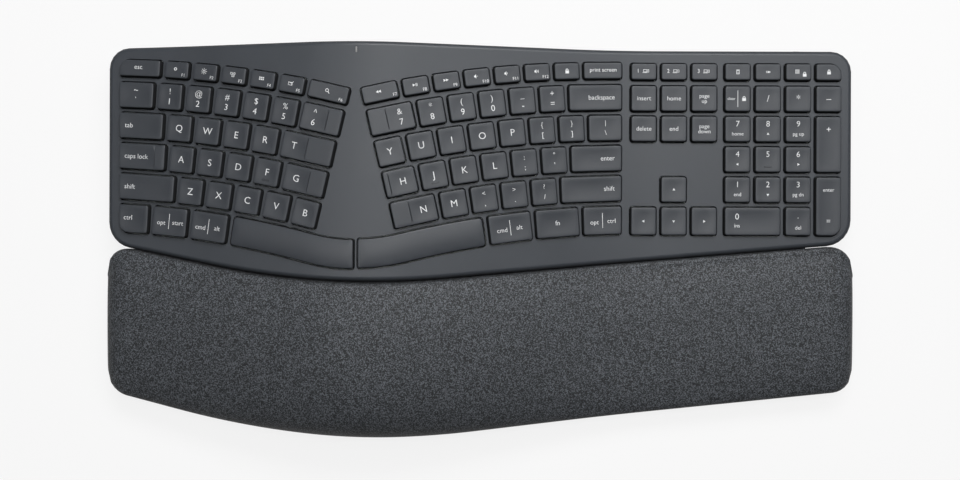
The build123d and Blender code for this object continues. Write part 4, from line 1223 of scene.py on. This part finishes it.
pad = bmesh.new()
stations = []
for i in range(palm_steps + 1):
    t = -cos(pi * i / palm_steps)
    even = 2 * i / palm_steps - 1
    stations.append(palm_width / 2 * (end_crowding * t + (1 - end_crowding) * even))
rings = [[pad.verts.new((x, y, z)) for y, z in palm_section(x)] for x in stations]
for a, b in zip(rings, rings[1:]):
    for k in range(len(a)):
        n = (k + 1) % len(a)
        pad.faces.new((a[k], a[n], b[n], b[k]))
pad.faces.new(rings[0][::-1])
pad.faces.new(rings[-1])
bmesh.ops.recalc_face_normals(pad, faces=pad.faces)


def knit_group():
    """Shader group of a melange knit: fine loops, light and dark yarn flecks, and painted shade on the slopes."""
    tree, node, math, mapped, given, place = shader_group(
        "melange_knit", {"Base": knit_colour, "Fleck": knit_fleck, "Loop Size": knit_scale})
    size = math("DIVIDE", 1 / MM, given["Loop Size"])
    loops = node("ShaderNodeTexVoronoi", {"Vector": place["Object"], "Scale": size, "Randomness": 0.65},
                 feature="F1")
    yarn = node("ShaderNodeTexNoise", {"Vector": place["Object"], "Scale": math("MULTIPLY", size, yarn_share),
                                       "Detail": 2.0, "Roughness": 0.75}).outputs["Fac"]
    cell = node("ShaderNodeSeparateColor", {"Color": loops.outputs["Color"]}).outputs["Red"]
    fleck = mapped(math("MULTIPLY_ADD", cell, 0.5, math("MULTIPLY", yarn, 0.5)), *fleck_limits)
    colour = node("ShaderNodeMix", {"Factor": fleck, "A": given["Base"], "B": given["Fleck"]}, data_type="RGBA")
    # Painted shade: the rolled front and ends are darkened where they turn away from straight up.
    upward = node("ShaderNodeSeparateXYZ", {0: place["Normal"]}).outputs["Z"]
    painted_shade_factor = mapped(upward, 0.55, 0.995, painted_slope_shade)
    tint = node("ShaderNodeVectorMath", {0: colour.outputs["Result"], "Scale": painted_shade_factor}, operation="SCALE")
    node("NodeGroupOutput", {"Colour": tint.outputs[0], "Roughness": mapped(yarn, to_low=0.42, to_high=0.6),
                             "Height": math("SUBTRACT", 1.0, loops.outputs["Distance"])})
    return tree


knit = dressed("melange_knit", knit_group(), {"Base": knit_colour, "Fleck": knit_fleck, "Loop Size": knit_scale},
               {"Sheen Weight": 0.06, "Sheen Roughness": 0.5, "Specular IOR Level": 0.4}, 0.5, 0.0003)
palm = finish_piece("palm_rest_pad", pad, "base", "knit_fabric", knit, sharp=60.0)
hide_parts("palm_rest_cover", "palm_rest_foam")


# Seam strip
# A dark strip of the lower case that closes the joint between the shell and the palm rest, so that no light comes
# through from under the keyboard. It is coloured near black, darker than the base plastic, as painted shade in the
# seam.

strip_reach = 201.0
strip_half = 2.2
strip_low = 2.3
strip_high = 7.7
# Near black, darker than the base plastic: painted shade deep in the seam.
strip_painted_shade_colour = (0.012, 0.012, 0.013, 1)
strip_material = moulded("seam_strip", strip_painted_shade_colour, (0.6, 0.7), size=0.4, shift=0.05, bump=0.05)
strip = bmesh.new()
cuts = []
for i in range(81):
    x = -strip_reach + 2 * strip_reach * i / 80
    y = rounded_vee(x, seam_vee, seam_slopes, seam_radius)
    corners = box(y, (strip_low + strip_high) / 2, 2 * strip_half, strip_high - strip_low)
    cuts.append([strip.verts.new((x, *corner)) for corner in corners])
for a, b in zip(cuts, cuts[1:]):
    bridge(strip, a, b)
strip.faces.new(cuts[0][::-1])
strip.faces.new(cuts[-1])
bmesh.ops.recalc_face_normals(strip, faces=strip.faces)
finish_piece("seam_strip", strip, "base", "base_plastic", strip_material)


# Underside and the parts inside
# Plain moulded, pressed and printed parts in the shapes of the CAD, each with its own finish. On the moulded ones
# the sharp edges are rolled over by a fraction of a millimetre.

finishes = {
    "base_plastic": moulded("base_plastic", (0.032, 0.033, 0.035, 1), (0.5, 0.62), size=0.35, bump=0.2),
    "steel": moulded("zinc_steel", (0.5, 0.5, 0.51, 1), (0.28, 0.42), 0.8, 0.08, bump=0.04, metallic=1.0),
    "contact_metal": moulded("nickel", (0.62, 0.61, 0.58, 1), (0.2, 0.3), 0.5, 0.05, bump=0.02, metallic=1.0),
    "membrane_film": moulded("printed_film", (0.55, 0.6, 0.57, 1), (0.2, 0.3), size=1.5, shift=0.1, bump=0.02),
    "dome_rubber": moulded("silicone", (0.7, 0.7, 0.68, 1), (0.45, 0.6), size=0.4, bump=0.05),
    "battery_jacket": moulded("battery_jacket", (0.03, 0.06, 0.05, 1), (0.2, 0.3), size=1.0, bump=0.02),
    "receiver_plastic": moulded("receiver_plastic", (0.02, 0.02, 0.02, 1), (0.35, 0.45), size=0.3),
    "board_laminate": moulded("board_laminate", (0.02, 0.11, 0.05, 1), (0.25, 0.4), size=0.6, shift=0.2),
    "switch_plastic": moulded("switch_plastic", (0.05, 0.05, 0.055, 1), (0.35, 0.45), size=0.3),
    "foot_rubber": moulded("foot_rubber", (0.018, 0.018, 0.018, 1), (0.7, 0.85), size=0.6, bump=0.25),
    "foam": moulded("foam", (0.07, 0.07, 0.075, 1), (0.85, 0.95), size=0.9, bump=0.4),
    "light_pipe": light_material,
    "case_plastic": case_plastic,
    "keycap_plastic": key_plastic,
    "knit_fabric": knit,
}
slots = {part["node"]: part["material_slot"] for part in frame["record"]["subparts"]}
for name, part in frame["nodes"].items():
    part.data.materials.clear()
    part.data.materials.append(finishes[slots[name]])


sharp_edge = radians(32)


def softened(name, body, width):
    """Replaces a CAD piece by a copy whose sharp edges are rolled over."""
    mesh = bmesh.new()
    mesh.from_mesh(frame["nodes"][name].data)
    mesh.transform(Matrix.Scale(1 / MM, 4))
    bmesh.ops.remove_doubles(mesh, verts=mesh.verts, dist=1e-4)
    bmesh.ops.dissolve_limit(mesh, angle_limit=radians(1), verts=mesh.verts, edges=mesh.edges)
    corners = [edge for edge in mesh.edges if edge.is_manifold and edge.calc_face_angle() > sharp_edge]
    bmesh.ops.bevel(mesh, geom=corners, offset=width, segments=2, profile=0.5, affect="EDGES",
                    clamp_overlap=True)
    bmesh.ops.triangulate(mesh, faces=[face for face in mesh.faces if len(face.verts) > 4])
    bmesh.ops.dissolve_degenerate(mesh, dist=1e-3, edges=mesh.edges)
    piece = finish_piece(f"{name}_finished", mesh, body, slots[name], finishes[slots[name]])
    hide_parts(name)


for name, body, width in (
    ("bottom_case", "base", 0.25), ("battery_door", "battery_door", 0.3), ("rubber_feet", "base", 0.4),
    ("power_switch_knob", "power_switch_knob", 0.25), ("power_switch_body", "base", 0.2),
    ("circuit_board", "base", 0.12), ("usb_receiver", "base", 0.6), ("battery_contacts", "base", 0.08),
):
    softened(name, body, width)
for side in ("left", "right"):
    for leg in ("tall_leg", "short_leg"):
        softened(f"{leg}_{side}", f"{leg}_{side}", 0.35)
        softened(f"{leg}_{side}_pad", f"{leg}_{side}", 0.25)


# Rubber domes and screws
# Both repeat one form at many places: a node tree makes the form, puts it on the points and makes the copies
# real, and what comes out is kept as a plain mesh.

dome_depth = 5.95
dome_rise = 1.45
dome_radius = 2.9
dome_sides = 20
dome_top = 0.58
skirt_share = 0.7
plunger_foot = 0.5
plunger_top = 0.44
screw_points = ((-186.0, 110.9), (140.0, 110.9), (-186.0, -4.2), (140.0, -2.8), (-92.0, -66.0), (40.0, -66.0))
screw_face_z = 2.0
screw_head = 2.3
screw_shank = 1.1
screw_length = 9.0
head_cone = 0.9
head_neck = 0.45
head_depth = 0.55
cross_arm = (2.7, 0.55, 1.5)


def instancing_tree(name, build):
    """Node tree that puts the form made by build on every point, turned by the points' tilt."""
    tree = bpy.data.node_groups.new(name, "GeometryNodeTree")
    sockets = (("Points", "Geometry"), ("Radius", "Float"), ("Height", "Float"), ("Material", "Material"))
    for label, kind in sockets:
        tree.interface.new_socket(label, in_out="INPUT", socket_type=f"NodeSocket{kind}")
    tree.interface.new_socket("Mesh", in_out="OUTPUT", socket_type="NodeSocketGeometry")
    node, math, mapped = nodes_of(tree)
    given = node("NodeGroupInput").outputs
    tilt = node("GeometryNodeInputNamedAttribute", {"Name": "tilt"}, data_type="FLOAT_VECTOR").outputs["Attribute"]
    form = build(node, math, given)
    placed = node("GeometryNodeInstanceOnPoints", {"Points": given["Points"], "Instance": form, "Rotation": tilt})
    real = node("GeometryNodeRealizeInstances", {"Geometry": placed.outputs["Instances"]})
    painted = node("GeometryNodeSetMaterial", {"Geometry": real.outputs[0], "Material": given["Material"]})
    node("NodeGroupOutput", {"Mesh": painted.outputs["Geometry"]})
    return tree


def dome_form(node, math, given):
    """A rubber dome: a sloping skirt with a plunger on top."""
    skirt = node("GeometryNodeMeshCone", {
        "Vertices": dome_sides, "Radius Bottom": given["Radius"],
        "Radius Top": math("MULTIPLY", given["Radius"], dome_top),
        "Depth": math("MULTIPLY", given["Height"], skirt_share)})
    plunger = node("GeometryNodeMeshCone", {
        "Vertices": dome_sides, "Radius Bottom": math("MULTIPLY", given["Radius"], plunger_foot),
        "Radius Top": math("MULTIPLY", given["Radius"], plunger_top), "Depth": given["Height"]})
    return node("GeometryNodeJoinGeometry", {0: [plunger.outputs["Mesh"], skirt.outputs["Mesh"]]}).outputs[0]


def screw_form(node, math, given):
    """A countersunk screw that points up, its head cut by a cross."""
    head = node("GeometryNodeMeshCone", {
        "Vertices": 28, "Radius Bottom": given["Radius"],
        "Radius Top": math("MULTIPLY", given["Radius"], head_neck),
        "Depth": math("MULTIPLY", given["Radius"], head_depth)})
    arms = []
    for turn in (0.0, pi / 2):
        arm = node("GeometryNodeMeshCube", {"Size": Vector(cross_arm) * MM}).outputs["Mesh"]
        arms.append(node("GeometryNodeTransform", {"Geometry": arm, "Rotation": (0, 0, turn)}).outputs["Geometry"])
    cross = node("GeometryNodeMeshBoolean", {"Mesh 1": head.outputs["Mesh"], "Mesh 2": arms},
                 operation="DIFFERENCE", solver="EXACT").outputs["Mesh"]
    welded = node("GeometryNodeMergeByDistance", {"Geometry": cross, "Distance": 0.00001}).outputs["Geometry"]
    shank = node("GeometryNodeMeshCylinder", {
        "Vertices": 24, "Radius": math("MULTIPLY", given["Radius"], screw_shank / screw_head),
        "Depth": given["Height"]}).outputs["Mesh"]
    lift = node("ShaderNodeCombineXYZ", {"Z": math("MULTIPLY", given["Height"], 0.5)}).outputs[0]
    raised = node("ShaderNodeVectorMath", {0: lift, 1: (0, 0, head_cone * MM)}, operation="ADD").outputs[0]
    lifted = node("GeometryNodeTransform", {"Geometry": shank, "Translation": raised}).outputs["Geometry"]
    return node("GeometryNodeJoinGeometry", {0: [welded, lifted]}).outputs[0]


def repeated(name, build, places, values, replaced):
    """Runs an instancing tree on places, as (point, tilt) pairs, and keeps its result as a piece."""
    data = bpy.data.meshes.new(name)
    data.from_pydata([tuple(point) for point, _ in places], [], [])
    tilts = data.attributes.new("tilt", "FLOAT_VECTOR", "POINT")
    for slot, (_, tilt) in zip(tilts.data, places):
        slot.vector = tilt
    holder = bpy.data.objects.new(name, data)
    scene.collection.objects.link(holder)
    tree = instancing_tree(f"{name}_tree", build)
    repeat = holder.modifiers.new("repeat", "NODES")
    repeat.node_group = tree
    keys = {item.name: item.identifier for item in tree.interface.items_tree if item.in_out == "INPUT"}
    for label, value in values.items():
        repeat[keys[label]] = value
    repeat[keys["Material"]] = finishes[slots[replaced]]
    made = bpy.data.meshes.new_from_object(holder.evaluated_get(bpy.context.evaluated_depsgraph_get()))
    holder.modifiers.clear()
    holder.data = made
    made.set_sharp_from_angle(angle=radians(35))
    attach(holder, "base")
    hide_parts(replaced)


dome_places = []
for places in key_table.values():
    for place in places:
        foot = place.at(place.middle.x, place.middle.y, -dome_depth)
        dome_places.append((foot * MM, (0, atan(place.up.x / place.up.z), 0)))
repeated("rubber_dome_row", dome_form, dome_places, {"Radius": dome_radius * MM, "Height": dome_rise * MM},
         "rubber_domes")
repeated("case_screw_set", screw_form, [(Vector((x, y, screw_face_z)) * MM, (0, 0, 0)) for x, y in screw_points],
         {"Radius": screw_head * MM, "Height": (screw_length - head_cone) * MM}, "case_screws")


# Batteries
# Two round cells in a plain jacket, laid head to tail, each with a bare rim and a button end.

cell_radius = 5.2
button_radius = 1.9
cell_sides = 32
cell_half = 5.25
cells = bmesh.new()
cell_points = [vertex.co / MM for vertex in frame["nodes"]["batteries"].data.vertices]
cell_box = [[pick(point[i] for point in cell_points) for pick in (min, max)] for i in range(3)]
for sign in (-1, 1):
    centre_y = sum(cell_box[1]) / 2 + sign * ((cell_box[1][1] - cell_box[1][0]) / 2 - cell_half)
    centre_z = sum(cell_box[2]) / 2
    start, end = cell_box[0] if sign > 0 else cell_box[0][::-1]
    step = 1 if end > start else -1
    length = end - start
    profile = ((0.0, cell_radius - 1.2), (0.25 * step, cell_radius - 0.5), (0.9 * step, cell_radius),
               (length - 2.2 * step, cell_radius), (length - 1.5 * step, cell_radius - 0.5),
               (length - 1.2 * step, cell_radius - 1.4), (length - 1.2 * step, button_radius),
               (length - 0.2 * step, button_radius - 0.1), (length, button_radius - 0.4))
    rings = []
    for run, radius in profile:
        turns = [2 * pi * k / cell_sides for k in range(cell_sides)]
        rings.append([cells.verts.new((start + run, centre_y + radius * cos(a), centre_z + radius * sin(a)))
                      for a in turns])
    for a, b in zip(rings, rings[1:]):
        bridge(cells, a, b)
    cells.faces.new(rings[0])
    cells.faces.new(rings[-1])
bmesh.ops.recalc_face_normals(cells, faces=cells.faces)
battery_pair = finish_piece("battery_pair", cells, "base", "battery_jacket", finishes["battery_jacket"])
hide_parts("batteries")
